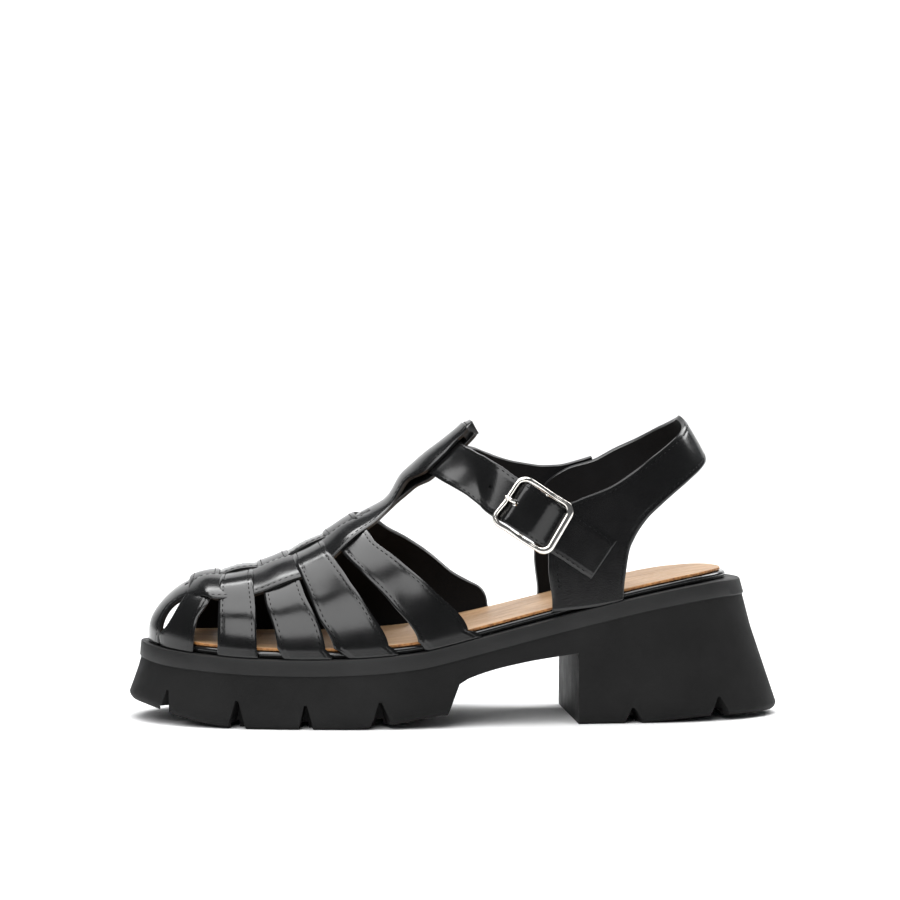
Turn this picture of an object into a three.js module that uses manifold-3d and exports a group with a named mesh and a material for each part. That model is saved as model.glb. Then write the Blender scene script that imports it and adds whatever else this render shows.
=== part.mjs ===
// A roman (fisherman) sandal for the left foot. Millimetres, +Z up, toe towards -X, outer side towards -Y.
// A lugged rubber sole carries a leather-covered footbed and an insole. Five cross straps are woven through
// three lengthwise fingers, which join into a toe band in front and a T-bar behind. The T-bar ends in a loop
// that holds the ankle strap, and one piece makes both quarters and the sling behind the heel.
import * as THREE from "three";
import { mergeVertices } from "three/addons/utils/BufferGeometryUtils.js";
import { ConvexGeometry } from "three/addons/geometries/ConvexGeometry.js";
import Module from "manifold-3d";

const wasm = await Module();
wasm.setup();

// Driving dimensions of the footbed and the foot it is made for
const FOOTBED_LENGTH = 250;
const BALL_WIDTH = 88;
const INSTEP_HEIGHT = 78;
const TOE_ROUND = 42;
const HEEL_ROUND = 36;

// Sole: heights of its top ledge, its edges and what is cut from it
const PLATFORM_HEIGHT = 29;
const HEEL_HEIGHT = 60;
const TOE_SPRING = 8;
const BAND_HEIGHT = 6.6;
const BAND_STEP = 0.5;
const TOE_LEDGE = 5.6;
const SIDE_LEDGE = 4;
const HEEL_LEDGE = 6.3;
const TOE_FLARE = 5;
const BALL_FLARE = 3.6;
const HEEL_SIDE_FLARE = 1.6;
const HEEL_FLARE = 16.4;
const TREAD_CORNER = 3;
const WAIST_THICKNESS = 17;
const NOTCH_WIDTH = 7.4;
const NOTCH_HEIGHT = 12;
const NOTCH_DEPTH = 9;
const NOTCH_TIP = 1.6;
const GROOVE_WIDTH = 5;
const GROOVE_DEPTH = 2.5;

// Footbed, insole and the gap that touching pieces keep
const FOOTBED_THICKNESS = 2.8;
const FOOTBED_EDGE_ROUND = 0.8;
const INSOLE_THICKNESS = 1.3;
const INSOLE_INSET = 0.8;
const GAP = 0.3;
const LAST_ROOM = 0.5;

// Leather
const STRAP_WALL = 1.8;
const STRAP_BOND = 0.3;
const SLIT_WIDTH = 1.6;
const QUARTER_WALL = 2.2;
const SLING_HEIGHT = 66;
const SLING_LEAN = 18;
const ANKLE_WALL = 1.8;
const ANKLE_WIDTH = 19.8;
const EAR_LENGTH = 8.5;
const LOOP_ROOM = 0.5;
const BAR_RISE_LENGTH = 18;

// Buckle: a bowed frame with a centre bar, and its prong
const BUCKLE_LENGTH = 27;
const FRAME_WIDTH = 2.2;
const FRAME_THICKNESS = 1.9;
const FRAME_CORNER = 5;
const FRAME_CLEARANCE = 0.45;
const FRAME_REAR_WIDTH = 3.2;
const BAR_DIAMETER = 1.8;
const PRONG_DIAMETER = 1.8;
const PRONG_REACH = 3.4;
const PIN_HOLE = 2.7;
const HEEL_REACH = 110;
const PIN_HOLE_PITCH = 11;

const COLOURS = { leather: 0x141414, rubber: 0x262626, tan: 0xc69a6b, steel: 0xc9c4bb };

// Footbed outline from toe to heel: the middle line and half width, as shares of the ball width
const PLAN = [
  { along: 0.0, centre: 0.0625, half: 0.42 },
  { along: 0.12, centre: 0.0475, half: 0.455 },
  { along: 0.25, centre: 0.0125, half: 0.49 },
  { along: 0.36, centre: -0.0075, half: 0.5 },
  { along: 0.5, centre: -0.0275, half: 0.445 },
  { along: 0.62, centre: -0.0375, half: 0.385 },
  { along: 0.75, centre: -0.0225, half: 0.365 },
  { along: 0.88, centre: -0.0075, half: 0.365 },
  { along: 1.0, centre: -0.0075, half: 0.355 },
];

// Height of the sole's ledge between platform and heel height, and of its tread as a share of the toe spring
const LEDGE = [
  { along: -0.024, rise: 0.155 },
  { along: 0.016, rise: 0.095 },
  { along: 0.08, rise: 0.052 },
  { along: 0.185, rise: 0.008 },
  { along: 0.26, rise: 0.0 },
  { along: 0.325, rise: 0.012 },
  { along: 0.434, rise: 0.075 },
  { along: 0.555, rise: 0.28 },
  { along: 0.66, rise: 0.487 },
  { along: 0.763, rise: 0.685 },
  { along: 0.872, rise: 0.88 },
  { along: 0.928, rise: 0.955 },
  { along: 0.985, rise: 1.0 },
  { along: 1.05, rise: 1.0 },
];
const TREAD = [
  { along: -0.05, lift: 1.1 },
  { along: -0.02, lift: 0.98 },
  { along: 0.044, lift: 0.5 },
  { along: 0.084, lift: 0.24 },
  { along: 0.124, lift: 0.075 },
  { along: 0.17, lift: 0.0 },
  { along: 0.33, lift: 0.0 },
  { along: 0.38, lift: 0.17 },
  { along: 0.412, lift: 0.29 },
  { along: 0.5, lift: 0.68 },
  { along: 0.72, lift: 0.0 },
  { along: 0.83, lift: 0.0 },
  { along: 0.9, lift: 0.16 },
  { along: 0.95, lift: 0.27 },
  { along: 1.1, lift: 0.27 },
];

// Sections of the last above the insole: height as a share of the instep height, how full the section is,
// and how far its top leans to the inner side, as a share of the ball width
const LAST = [
  { along: 0.0, high: 0.314, full: 2.3, lean: 0.0 },
  { along: 0.05, high: 0.354, full: 2.3, lean: 0.011 },
  { along: 0.08, high: 0.36, full: 2.3, lean: 0.023 },
  { along: 0.12, high: 0.351, full: 2.3, lean: 0.034 },
  { along: 0.18, high: 0.383, full: 2.25, lean: 0.045 },
  { along: 0.236, high: 0.452, full: 2.2, lean: 0.057 },
  { along: 0.292, high: 0.54, full: 2.1, lean: 0.057 },
  { along: 0.354, high: 0.66, full: 2.0, lean: 0.057 },
  { along: 0.419, high: 0.76, full: 1.9, lean: 0.057 },
  { along: 0.457, high: 0.85, full: 1.85, lean: 0.045 },
  { along: 0.486, high: 0.915, full: 1.85, lean: 0.034 },
  { along: 0.527, high: 0.985, full: 1.85, lean: 0.023 },
  { along: 0.56, high: 1.06, full: 1.9, lean: 0.011 },
  { along: 0.6, high: 1.32, full: 2.15, lean: 0.0 },
  { along: 0.66, high: 1.6, full: 2.6, lean: 0.0 },
  { along: 0.75, high: 1.75, full: 3.0, lean: 0.0 },
  { along: 1.0, high: 1.75, full: 3.0, lean: 0.0 },
];

// Cross straps: front and rear edge as shares of the footbed length. Side -1 and 1 are the insole's edges,
// 0 the ridge, and beyond 1 the strap runs down beside the footbed to the ledge at 2.
const CROSS_STRAPS = [
  { over: "middle", rows: [
    { side: -2, front: 0.016, rear: 0.07 }, { side: -1, front: 0.014, rear: 0.071 },
    { side: -0.8, front: 0.028, rear: 0.076 }, { side: -0.6, front: 0.042, rear: 0.094 },
    { side: -0.3, front: 0.06, rear: 0.11 }, { side: 0, front: 0.068, rear: 0.116 },
    { side: 0.3, front: 0.07, rear: 0.118 }, { side: 0.6, front: 0.064, rear: 0.119 },
    { side: 1, front: 0.056, rear: 0.12 }, { side: 2, front: 0.056, rear: 0.122 }] },
  { over: "sides", rows: [
    { side: -2, front: 0.11, rear: 0.178 }, { side: -0.8, front: 0.111, rear: 0.175 },
    { side: -0.4, front: 0.114, rear: 0.172 }, { side: 0, front: 0.122, rear: 0.176 },
    { side: 0.4, front: 0.13, rear: 0.188 }, { side: 0.8, front: 0.152, rear: 0.222 },
    { side: 2, front: 0.168, rear: 0.242 }] },
  { over: "middle", rows: [
    { side: -2, front: 0.22, rear: 0.304 }, { side: -1, front: 0.21, rear: 0.29 },
    { side: -0.6, front: 0.19, rear: 0.256 }, { side: 0, front: 0.182, rear: 0.236 },
    { side: 0.6, front: 0.212, rear: 0.28 }, { side: 1, front: 0.262, rear: 0.342 },
    { side: 2, front: 0.276, rear: 0.358 }] },
  { over: "sides", rows: [
    { side: -2, front: 0.33, rear: 0.416 }, { side: -1, front: 0.304, rear: 0.396 },
    { side: -0.8, front: 0.278, rear: 0.362 }, { side: -0.6, front: 0.262, rear: 0.33 },
    { side: -0.3, front: 0.246, rear: 0.301 }, { side: 0, front: 0.242, rear: 0.294 },
    { side: 0.3, front: 0.25, rear: 0.306 }, { side: 0.6, front: 0.288, rear: 0.358 },
    { side: 0.8, front: 0.33, rear: 0.41 }, { side: 1, front: 0.372, rear: 0.458 },
    { side: 2, front: 0.398, rear: 0.486 }] },
  { over: "middle", rows: [
    { side: -2, front: 0.46, rear: 0.56 }, { side: -1, front: 0.446, rear: 0.532 },
    { side: -0.8, front: 0.402, rear: 0.476 }, { side: -0.6, front: 0.354, rear: 0.42 },
    { side: -0.4, front: 0.324, rear: 0.376 }, { side: 0, front: 0.3, rear: 0.354 },
    { side: 0.4, front: 0.328, rear: 0.406 }, { side: 0.6, front: 0.374, rear: 0.457 },
    { side: 0.8, front: 0.43, rear: 0.522 }, { side: 1, front: 0.49, rear: 0.594 },
    { side: 2, front: 0.506, rear: 0.608 }] },
];

// Half width of the lengthwise band along the ridge, as a share of the ball width: toe band, fingers, T-bar
const BAND = [
  { along: 0.0, spread: 0.2 },
  { along: 0.02, spread: 0.19 },
  { along: 0.044, spread: 0.215 },
  { along: 0.068, spread: 0.27 },
  { along: 0.108, spread: 0.335 },
  { along: 0.184, spread: 0.345 },
  { along: 0.236, spread: 0.34 },
  { along: 0.316, spread: 0.295 },
  { along: 0.372, spread: 0.225 },
  { along: 0.404, spread: 0.16 },
  { along: 0.425, spread: 0.127 },
  { along: 0.444, spread: 0.125 },
  { along: 0.47, spread: 0.168 },
  { along: 0.504, spread: 0.142 },
  { along: 0.532, spread: 0.112 },
  { along: 0.56, spread: 0.1 },
];
const FINGERS_START = 0.056;
const FINGERS_END = 0.378;

// Quarters and sling: turn about the upright heel axis, in degrees from straight back, outer side negative,
// with the height above the heel's footbed as a share of the sling height. Ledge rows stand on the sole.
const HEEL_AXIS = 0.844;
const SLING = [
  { frontTurn: -139, frontHigh: -0.4, rearTurn: -107, rearHigh: -0.4 },
  { frontTurn: -139, frontHigh: -0.2, rearTurn: -107, rearHigh: -0.14 },
  { frontTurn: -140, frontHigh: 0.04, rearTurn: -105.5, rearHigh: 0.01 },
  { frontTurn: -140, frontHigh: 0.26, rearTurn: -103, rearHigh: 0.15 },
  { frontTurn: -138, frontHigh: 0.41, rearTurn: -100, rearHigh: 0.215 },
  { frontTurn: -131, frontHigh: 0.475, rearTurn: -97, rearHigh: 0.265 },
  { frontTurn: -116, frontHigh: 0.556, rearTurn: -90, rearHigh: 0.35 },
  { frontTurn: -101, frontHigh: 0.653, rearTurn: -80, rearHigh: 0.435 },
  { frontTurn: -84, frontHigh: 0.762, rearTurn: -67, rearHigh: 0.525 },
  { frontTurn: -60, frontHigh: 0.875, rearTurn: -48, rearHigh: 0.62 },
  { frontTurn: -30, frontHigh: 0.955, rearTurn: -25, rearHigh: 0.69 },
  { frontTurn: 0, frontHigh: 0.985, rearTurn: 0, rearHigh: 0.725 },
  { frontTurn: 30, frontHigh: 0.965, rearTurn: 25, rearHigh: 0.69 },
  { frontTurn: 60, frontHigh: 0.91, rearTurn: 48, rearHigh: 0.62 },
  { frontTurn: 84, frontHigh: 0.825, rearTurn: 67, rearHigh: 0.525 },
  { frontTurn: 101, frontHigh: 0.76, rearTurn: 80, rearHigh: 0.435 },
  { frontTurn: 116, frontHigh: 0.69, rearTurn: 90, rearHigh: 0.35 },
  { frontTurn: 132, frontHigh: 0.635, rearTurn: 97, rearHigh: 0.265 },
  { frontTurn: 142, frontHigh: 0.5, rearTurn: 100, rearHigh: 0.215 },
  { frontTurn: 144, frontHigh: 0.26, rearTurn: 103, rearHigh: 0.15 },
  { frontTurn: 144, frontHigh: 0.04, rearTurn: 105.5, rearHigh: 0.01 },
  { frontTurn: 143, frontHigh: -0.2, rearTurn: 107, rearHigh: -0.14 },
  { frontTurn: 143, frontHigh: -0.4, rearTurn: 107, rearHigh: -0.4 },
];

// Ankle strap from its root on the inner quarter, round the front and down to its end on the outer quarter:
// the middle line in the same two measures, and the turn where the buckle sits
const ANKLE = [
  { turn: 112, high: 0.57 },
  { turn: 122.5, high: 0.538 },
  { turn: 134.8, high: 0.504 },
  { turn: 142, high: 0.5 },
  { turn: 150.6, high: 0.527 },
  { turn: 160, high: 0.597 },
  { turn: 170, high: 0.672 },
  { turn: 180, high: 0.727 },
  { turn: 187, high: 0.7 },
  { turn: 193, high: 0.656 },
  { turn: 203.6, high: 0.565 },
  { turn: 211.6, high: 0.451 },
  { turn: 218.3, high: 0.335 },
  { turn: 222.4, high: 0.272 },
  { turn: 233.4, high: 0.145 },
  { turn: 240.5, high: 0.084 },
];
const BUCKLE_TURN = 215.5;

// Notches of the tread: place along the footbed, with width and height as shares of the notch sizes
const NOTCHES = [
  { along: 0.0186, wide: 1.0, high: 0.9 },
  { along: 0.138, wide: 1.45, high: 1.13 },
  { along: 0.2545, wide: 1.2, high: 1.0 },
  { along: 0.381, wide: 1.7, high: 1.0 },
  { along: 0.818, wide: 1.6, high: 0.64 },
  { along: 0.971, wide: 1.9, high: 0.8 },
];

// Arch: where it is cut, and how thick the sole stays over it, as a share of the waist thickness
const ARCH_FRONT = 0.496;
const ARCH = [
  { along: 0.517, thick: 1.0 },
  { along: 0.535, thick: 0.915 },
  { along: 0.58, thick: 0.87 },
  { along: 0.63, thick: 0.9 },
  { along: 0.69, thick: 0.98 },
  { along: 0.724, thick: 1.03 },
];

// How finely curves are cut into facets
const OUTLINE_STEPS = 30;
const STRAP_STEPS = 26;
const STRAP_COLUMNS = 3;

// Worked-out lengths
const SOLE_LENGTH = FOOTBED_LENGTH + TOE_LEDGE + TOE_FLARE + HEEL_LEDGE + HEEL_FLARE;
const FOOTBED_TIP = TOE_LEDGE + TOE_FLARE - SOLE_LENGTH / 2;
const FOOTBED_BACK = FOOTBED_TIP + FOOTBED_LENGTH;
const STACK = GAP + FOOTBED_THICKNESS + GAP + INSOLE_THICKNESS;
const LAYER = STRAP_WALL - STRAP_BOND;

const shareAt = (x) => (x - FOOTBED_TIP) / FOOTBED_LENGTH;
const placeAt = (along) => FOOTBED_TIP + FOOTBED_LENGTH * along;

// Smooth curve through a table's column that never overshoots its rows
function follow(rows, column, at, by = "along") {
  const last = rows.length - 1;
  if (at <= rows[0][by]) return rows[0][column];
  if (at >= rows[last][by]) return rows[last][column];
  let i = 0;
  while (at > rows[i + 1][by]) i += 1;
  const run = (k) => rows[k + 1][by] - rows[k][by];
  const pitch = (k) => (rows[k + 1][column] - rows[k][column]) / run(k);
  const slope = (k) => {
    if (k === 0) return pitch(0);
    if (k === last) return pitch(last - 1);
    const before = pitch(k - 1);
    const after = pitch(k);
    return before * after <= 0 ? 0 : (2 * before * after) / (before + after);
  };
  const s = (at - rows[i][by]) / run(i);
  const smooth = s * s * (3 - 2 * s);
  const bend = s * (1 - s) * ((1 - s) * slope(i) - s * slope(i + 1)) * run(i);
  return rows[i][column] * (1 - smooth) + rows[i + 1][column] * smooth + bend;
}

const ledgeHeight = (x) =>
  PLATFORM_HEIGHT + (HEEL_HEIGHT - PLATFORM_HEIGHT) * follow(LEDGE, "rise", shareAt(x));
const treadHeight = (x) => TOE_SPRING * follow(TREAD, "lift", shareAt(x));
const insoleTop = (x) => ledgeHeight(x) + STACK;
const roundEnd = (q) => (q >= 1 ? 1 : Math.sqrt(Math.max(0, 1 - (1 - q) ** 2)));

// Outline seen from above: grow holds how far it stands out of the footbed at toe, side and heel
function outline(x, grow, back = FOOTBED_BACK) {
  const along = shareAt(x);
  const side = typeof grow.side === "function" ? grow.side(along) : grow.side;
  const toe = roundEnd((x - FOOTBED_TIP + grow.toe) / (TOE_ROUND + grow.toe));
  const heel = roundEnd((back + grow.heel - x) / (HEEL_ROUND + grow.heel));
  return {
    centre: BALL_WIDTH * follow(PLAN, "centre", along),
    half: BALL_WIDTH * follow(PLAN, "half", along) + side,
    close: toe * heel,
  };
}
const even = (out) => ({ toe: out, side: out, heel: out });

// A body from grids of points: outer and inner skin and the rims between them
function solidFrom(positions, indices) {
  const geometry = new THREE.BufferGeometry();
  geometry.setAttribute("position", new THREE.Float32BufferAttribute(positions, 3));
  geometry.setIndex(indices);
  return toManifold(geometry);
}

function toManifold(geometry) {
  const bare = geometry.clone();
  bare.deleteAttribute("normal");
  bare.deleteAttribute("uv");
  const merged = mergeVertices(bare, 1e-4);
  const place = merged.attributes.position.array;
  const index = Array.from(merged.index.array);
  const kept = [];
  let volume = 0;
  const corner = (k) => new THREE.Vector3(place[3 * k], place[3 * k + 1], place[3 * k + 2]);
  for (let i = 0; i < index.length; i += 3) {
    const [a, b, c] = [index[i], index[i + 1], index[i + 2]];
    if (a === b || b === c || a === c) continue;
    kept.push(a, b, c);
    volume += corner(a).dot(corner(b).cross(corner(c)));
  }
  if (volume < 0) kept.reverse();
  const mesh = new wasm.Mesh({ numProp: 3, vertProperties: Float32Array.from(place), triVerts: Uint32Array.from(kept) });
  mesh.merge();
  return new wasm.Manifold(mesh);
}

// Rings of equal length, the lowest first, closed by strips across the first and last ring
function ringBody(rings) {
  const steps = OUTLINE_STEPS;
  const count = 2 * steps;
  const positions = rings.flat().flatMap((p) => [p.x, p.y, p.z]);
  const indices = [];
  for (let r = 0; r + 1 < rings.length; r += 1) {
    for (let i = 0; i < count; i += 1) {
      const a = r * count + i;
      const b = r * count + ((i + 1) % count);
      indices.push(a, b, b + count, a, b + count, a + count);
    }
  }
  const cap = (base, flip) => {
    const outer = (i) => base + i;
    const inner = (i) => base + ((count - i) % count);
    for (let i = 0; i < steps; i += 1) {
      const quad = [outer(i), inner(i), inner(i + 1), outer(i), inner(i + 1), outer(i + 1)];
      indices.push(...(flip ? quad.reverse() : quad));
    }
  };
  cap(0, false);
  cap((rings.length - 1) * count, true);
  return solidFrom(positions, indices);
}

// One ring of an outline: down the outer side from toe to heel and back along the inner side
function ring(grow, height) {
  const first = FOOTBED_TIP - grow.toe;
  const last = FOOTBED_BACK + grow.heel;
  const at = (i, side) => {
    const x = first + ((last - first) * (1 - Math.cos((Math.PI * i) / OUTLINE_STEPS))) / 2;
    const { centre, half, close } = outline(x, grow);
    return new THREE.Vector3(x, centre + side * half * close, height(x));
  };
  const points = [];
  for (let i = 0; i <= OUTLINE_STEPS; i += 1) points.push(at(i, -1));
  for (let i = OUTLINE_STEPS - 1; i > 0; i -= 1) points.push(at(i, 1));
  return points;
}

// A strip of sheet: place(i, j, side) gives the inner skin for side 0 and the outer skin for side 1
function strip(steps, columns, place) {
  const positions = [];
  const indices = [];
  const width = columns + 1;
  const skin = (steps + 1) * width;
  for (const side of [0, 1]) {
    for (let i = 0; i <= steps; i += 1) {
      for (let j = 0; j <= columns; j += 1) positions.push(...place(i / steps, j / columns, side).toArray());
    }
  }
  const at = (i, j, side) => side * skin + i * width + j;
  const quad = (a, b, c, d) => indices.push(a, b, c, a, c, d);
  for (let i = 0; i < steps; i += 1) {
    for (let j = 0; j < columns; j += 1) {
      quad(at(i, j, 0), at(i, j + 1, 0), at(i + 1, j + 1, 0), at(i + 1, j, 0));
      quad(at(i, j, 1), at(i + 1, j, 1), at(i + 1, j + 1, 1), at(i, j + 1, 1));
    }
    quad(at(i, 0, 0), at(i + 1, 0, 0), at(i + 1, 0, 1), at(i, 0, 1));
    quad(at(i, columns, 0), at(i, columns, 1), at(i + 1, columns, 1), at(i + 1, columns, 0));
  }
  for (let j = 0; j < columns; j += 1) {
    quad(at(0, j, 0), at(0, j, 1), at(0, j + 1, 1), at(0, j + 1, 0));
    quad(at(steps, j, 0), at(steps, j + 1, 0), at(steps, j + 1, 1), at(steps, j, 1));
  }
  return solidFrom(positions, indices);
}

const joined = (bodies) => bodies.reduce((whole, body) => whole.add(body));

// Pockets that the weave closes all round are pressed solid: their inner skins are left out
const withoutPockets = (body) => joined(body.decompose().filter((shell) => shell.volume() > 0));

function toMesh(body, name, colour, roughness, metalness = 0) {
  const { vertProperties, triVerts } = body.getMesh();
  const geometry = new THREE.BufferGeometry();
  geometry.setAttribute("position", new THREE.BufferAttribute(Float32Array.from(vertProperties), 3));
  geometry.setIndex(new THREE.BufferAttribute(Uint32Array.from(triVerts), 1));
  geometry.computeVertexNormals();
  const mesh = new THREE.Mesh(geometry, new THREE.MeshStandardMaterial({ color: colour, roughness, metalness }));
  mesh.name = name;
  return mesh;
}

// Outsole: lofted from tread to ledge, then the arch, the notches and the cross grooves are cut
const waistBlend = (fore, rear) => (along) =>
  follow([{ along: 0.45, side: fore }, { along: 0.72, side: rear }], "side", along);
const LEDGE_GROW = { toe: TOE_LEDGE, side: SIDE_LEDGE, heel: HEEL_LEDGE };
const flareGrow = (share, inset = 0) => ({
  toe: TOE_LEDGE + TOE_FLARE * share - inset,
  side: waistBlend(SIDE_LEDGE + BALL_FLARE * share - inset, SIDE_LEDGE + HEEL_SIDE_FLARE * share - inset),
  heel: HEEL_LEDGE + HEEL_FLARE * share - inset,
});
const bandShare = BAND_HEIGHT / HEEL_HEIGHT;

function outsole() {
  const bandFoot = (x) => ledgeHeight(x) - BAND_HEIGHT;
  const rings = [
    ring(flareGrow(1, 0.75 * TREAD_CORNER), treadHeight),
    ring(flareGrow(1, 0.2 * TREAD_CORNER), (x) => treadHeight(x) + 0.35 * TREAD_CORNER),
    ring(flareGrow(1), (x) => treadHeight(x) + TREAD_CORNER),
    ring(flareGrow(3 * bandShare), (x) => treadHeight(x) + 0.7 * (bandFoot(x) - treadHeight(x))),
    ring(flareGrow(bandShare, BAND_STEP), (x) => bandFoot(x) - BAND_STEP),
    ring(flareGrow(bandShare), bandFoot),
    ring(LEDGE_GROW, ledgeHeight),
  ];
  let body = ringBody(rings).subtract(archCutter());
  for (const notch of NOTCHES) {
    for (const side of [-1, 1]) body = body.subtract(notchCutter(notch, side));
    body = body.subtract(grooveCutter(notch));
  }
  return body;
}

// A profile in length and height, pushed across the sole's whole width
function across(points) {
  const width = BALL_WIDTH + 2 * (SIDE_LEDGE + BALL_FLARE + TREAD_CORNER);
  const shape = new THREE.Shape(points.map(([x, z]) => new THREE.Vector2(x, z)));
  const geometry = new THREE.ExtrudeGeometry(shape, { depth: width, bevelEnabled: false });
  geometry.rotateX(Math.PI / 2);
  geometry.translate(0, width / 2, 0);
  return toManifold(geometry);
}

function archCutter() {
  const steps = 8;
  const below = -TREAD_CORNER;
  const front = placeAt(ARCH_FRONT);
  const archTop = ARCH[0].along;
  const breast = ARCH[ARCH.length - 1].along;
  const points = [[front, below], [front, treadHeight(front)]];
  for (let i = 0; i <= steps; i += 1) {
    const along = archTop + ((breast - archTop) * i) / steps;
    const x = placeAt(along);
    points.push([x, ledgeHeight(x) - WAIST_THICKNESS * follow(ARCH, "thick", along)]);
  }
  points.push([placeAt(breast), below]);
  return across(points);
}

// A blind wedge cut square to the sole's edge, wide at the floor and narrow at its tip
function notchCutter(notch, side) {
  const x = placeAt(notch.along);
  const edge = (at) => {
    const { centre, half, close } = outline(at, flareGrow(1));
    return new THREE.Vector3(at, centre + side * half * close, 0);
  };
  const at = edge(x);
  const along = edge(x + 1).sub(edge(x - 1)).normalize();
  const out = new THREE.Vector3(-side * along.y, side * along.x, 0);
  const height = NOTCH_HEIGHT * notch.high;
  const base = treadHeight(x);
  const wide = (NOTCH_WIDTH * notch.wide) / 2;
  const tip = NOTCH_TIP / 2;
  const below = base + TREAD_CORNER;
  const foot = wide + ((wide - tip) * below) / height;
  const corners = [];
  for (const { reach, narrow } of [{ reach: NOTCH_DEPTH, narrow: 1 }, { reach: -NOTCH_DEPTH, narrow: 0.55 }]) {
    for (const way of [-1, 1]) {
      const corner = (run, z) => at.clone().addScaledVector(along, way * run * narrow)
        .addScaledVector(out, reach).setZ(z);
      corners.push(corner(foot, base - below), corner(tip, base + height * narrow ** 0.5));
    }
  }
  return toManifold(new ConvexGeometry(corners));
}

function grooveCutter(notch) {
  const x = placeAt(notch.along);
  const half = GROOVE_WIDTH / 2;
  const top = treadHeight(x) + GROOVE_DEPTH;
  return across([[x - half, -TREAD_CORNER], [x - half * 0.7, top], [x + half * 0.7, top], [x + half, -TREAD_CORNER]]);
}

// Footbed with its wrapped, rounded edge, and the insole on it
function plate(base, thickness, inset, round) {
  const low = (x) => base(x);
  const high = (x) => base(x) + thickness;
  return ringBody([
    ring(even(-inset - round / 2), low),
    ring(even(-inset), (x) => low(x) + round / 2),
    ring(even(-inset), (x) => high(x) - round),
    ring(even(-inset - round), high),
  ]);
}
const footbedBase = (x) => ledgeHeight(x) + GAP;
const insoleBase = (x) => footbedBase(x) + FOOTBED_THICKNESS + GAP;

// The last: zero on its skin, below zero inside
const backAt = (z) => {
  const up = Math.max(z - HEEL_HEIGHT - STACK, 0) / SLING_HEIGHT;
  return FOOTBED_BACK - SLING_LEAN * up * up;
};
function lastSection(x, z) {
  const along = shareAt(x);
  return {
    ...outline(x, even(LAST_ROOM), backAt(z)),
    high: INSTEP_HEIGHT * follow(LAST, "high", along),
    full: follow(LAST, "full", along),
    lean: BALL_WIDTH * follow(LAST, "lean", along),
  };
}
function depth(p) {
  const { centre, half, close, high, full, lean } = lastSection(p.x, p.z);
  const up = Math.max(p.z - insoleTop(p.x), 0) / high;
  const wide = Math.abs(p.y - centre - lean * up) / half;
  return wide ** full + up ** full - close ** full;
}
function outward(p) {
  const e = 0.05;
  const slope = (axis) => {
    const a = p.clone();
    const b = p.clone();
    a[axis] += e;
    b[axis] -= e;
    return depth(a) - depth(b);
  };
  return new THREE.Vector3(slope("x"), slope("y"), slope("z")).normalize();
}
function skinPoint(x, side) {
  const { centre, half, close, high, full, lean } = lastSection(x, 0);
  const sign = side < 0 ? -1 : 1;
  const reach = Math.abs(side);
  if (reach >= 1) return new THREE.Vector3(x, centre + sign * half * close, insoleTop(x) - (reach - 1) * STACK);
  const angle = ((1 - reach) * Math.PI) / 2;
  const up = close * Math.sin(angle) ** (2 / full);
  const wide = close * Math.cos(angle) ** (2 / full);
  return new THREE.Vector3(x, centre + sign * half * wide + lean * up, insoleTop(x) + high * up);
}
function castFrom(origin, way, far = 90) {
  let near = 0;
  let end = far;
  for (let k = 0; k < 34; k += 1) {
    const middle = (near + end) / 2;
    if (depth(origin.clone().addScaledVector(way, middle)) < 0) near = middle;
    else end = middle;
  }
  return origin.clone().addScaledVector(way, near);
}
const lifted = (p, out) => p.clone().addScaledVector(outward(p), out);

// How far down beside the footbed the straps reach, and the toe band, whose ledge rises in front of it
const SEAT = 2 - GAP / STACK;
const TOE_SEAT = 2 - (2 * GAP) / STACK;
const wave = (from, to, share) => from + (to - from) * (0.5 - 0.5 * Math.cos(Math.PI * share));

// Height over the last, woven: a table of crossings with the layer at each, and a smooth wave between them
function weave(crossings, at) {
  const last = crossings.length - 1;
  if (at <= crossings[0].at) return crossings[0].layer;
  if (at >= crossings[last].at) return crossings[last].layer;
  let i = 0;
  while (at > crossings[i + 1].at) i += 1;
  const share = (at - crossings[i].at) / (crossings[i + 1].at - crossings[i].at);
  return wave(crossings[i].layer, crossings[i + 1].layer, share);
}

function crossStrap(strap) {
  const middle = strap.over === "middle" ? LAYER : 0;
  const beside = strap.over === "middle" ? 0 : LAYER;
  const crossings = [
    { at: -0.66, layer: 0 }, { at: -0.36, layer: beside }, { at: 0, layer: middle },
    { at: 0.36, layer: beside }, { at: 0.66, layer: 0 }];
  const sideAt = (i) => {
    const swing = Math.sin((i - 0.5) * Math.PI) * 0.35 + (i - 0.5) * 1.3;
    return Math.max(-SEAT, Math.min(SEAT, swing * 2 * SEAT));
  };
  return strip(STRAP_STEPS, STRAP_COLUMNS, (i, j, skin) => {
    const side = sideAt(i);
    const front = placeAt(follow(strap.rows, "front", side, "side"));
    const rear = placeAt(follow(strap.rows, "rear", side, "side"));
    const p = skinPoint(front + (rear - front) * j, side);
    return lifted(p, weave(crossings, side) + skin * STRAP_WALL);
  });
}

// Ridge of the last, from the ledge in front of the toes up to the T-bar's end, by its length
const ridge = (() => {
  const points = [];
  const tip = FOOTBED_TIP - LAST_ROOM + 0.01;
  for (let i = 0; i < 5; i += 1) {
    const start = skinPoint(tip, TOE_SEAT - ((TOE_SEAT - 1) * i) / 5);
    points.push(start);
  }
  const end = placeAt(0.575);
  for (let i = 0; i <= 160; i += 1) points.push(skinPoint(tip + (end - tip) * (i / 160) ** 2, 0));
  const lengths = [0];
  for (let i = 1; i < points.length; i += 1) lengths.push(lengths[i - 1] + points[i].distanceTo(points[i - 1]));
  return { points, lengths };
})();
function ridgeAt(length) {
  const { points, lengths } = ridge;
  let i = 0;
  while (i + 2 < lengths.length && lengths[i + 1] < length) i += 1;
  const share = (length - lengths[i]) / (lengths[i + 1] - lengths[i]);
  return points[i].clone().lerp(points[i + 1], share);
}
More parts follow.
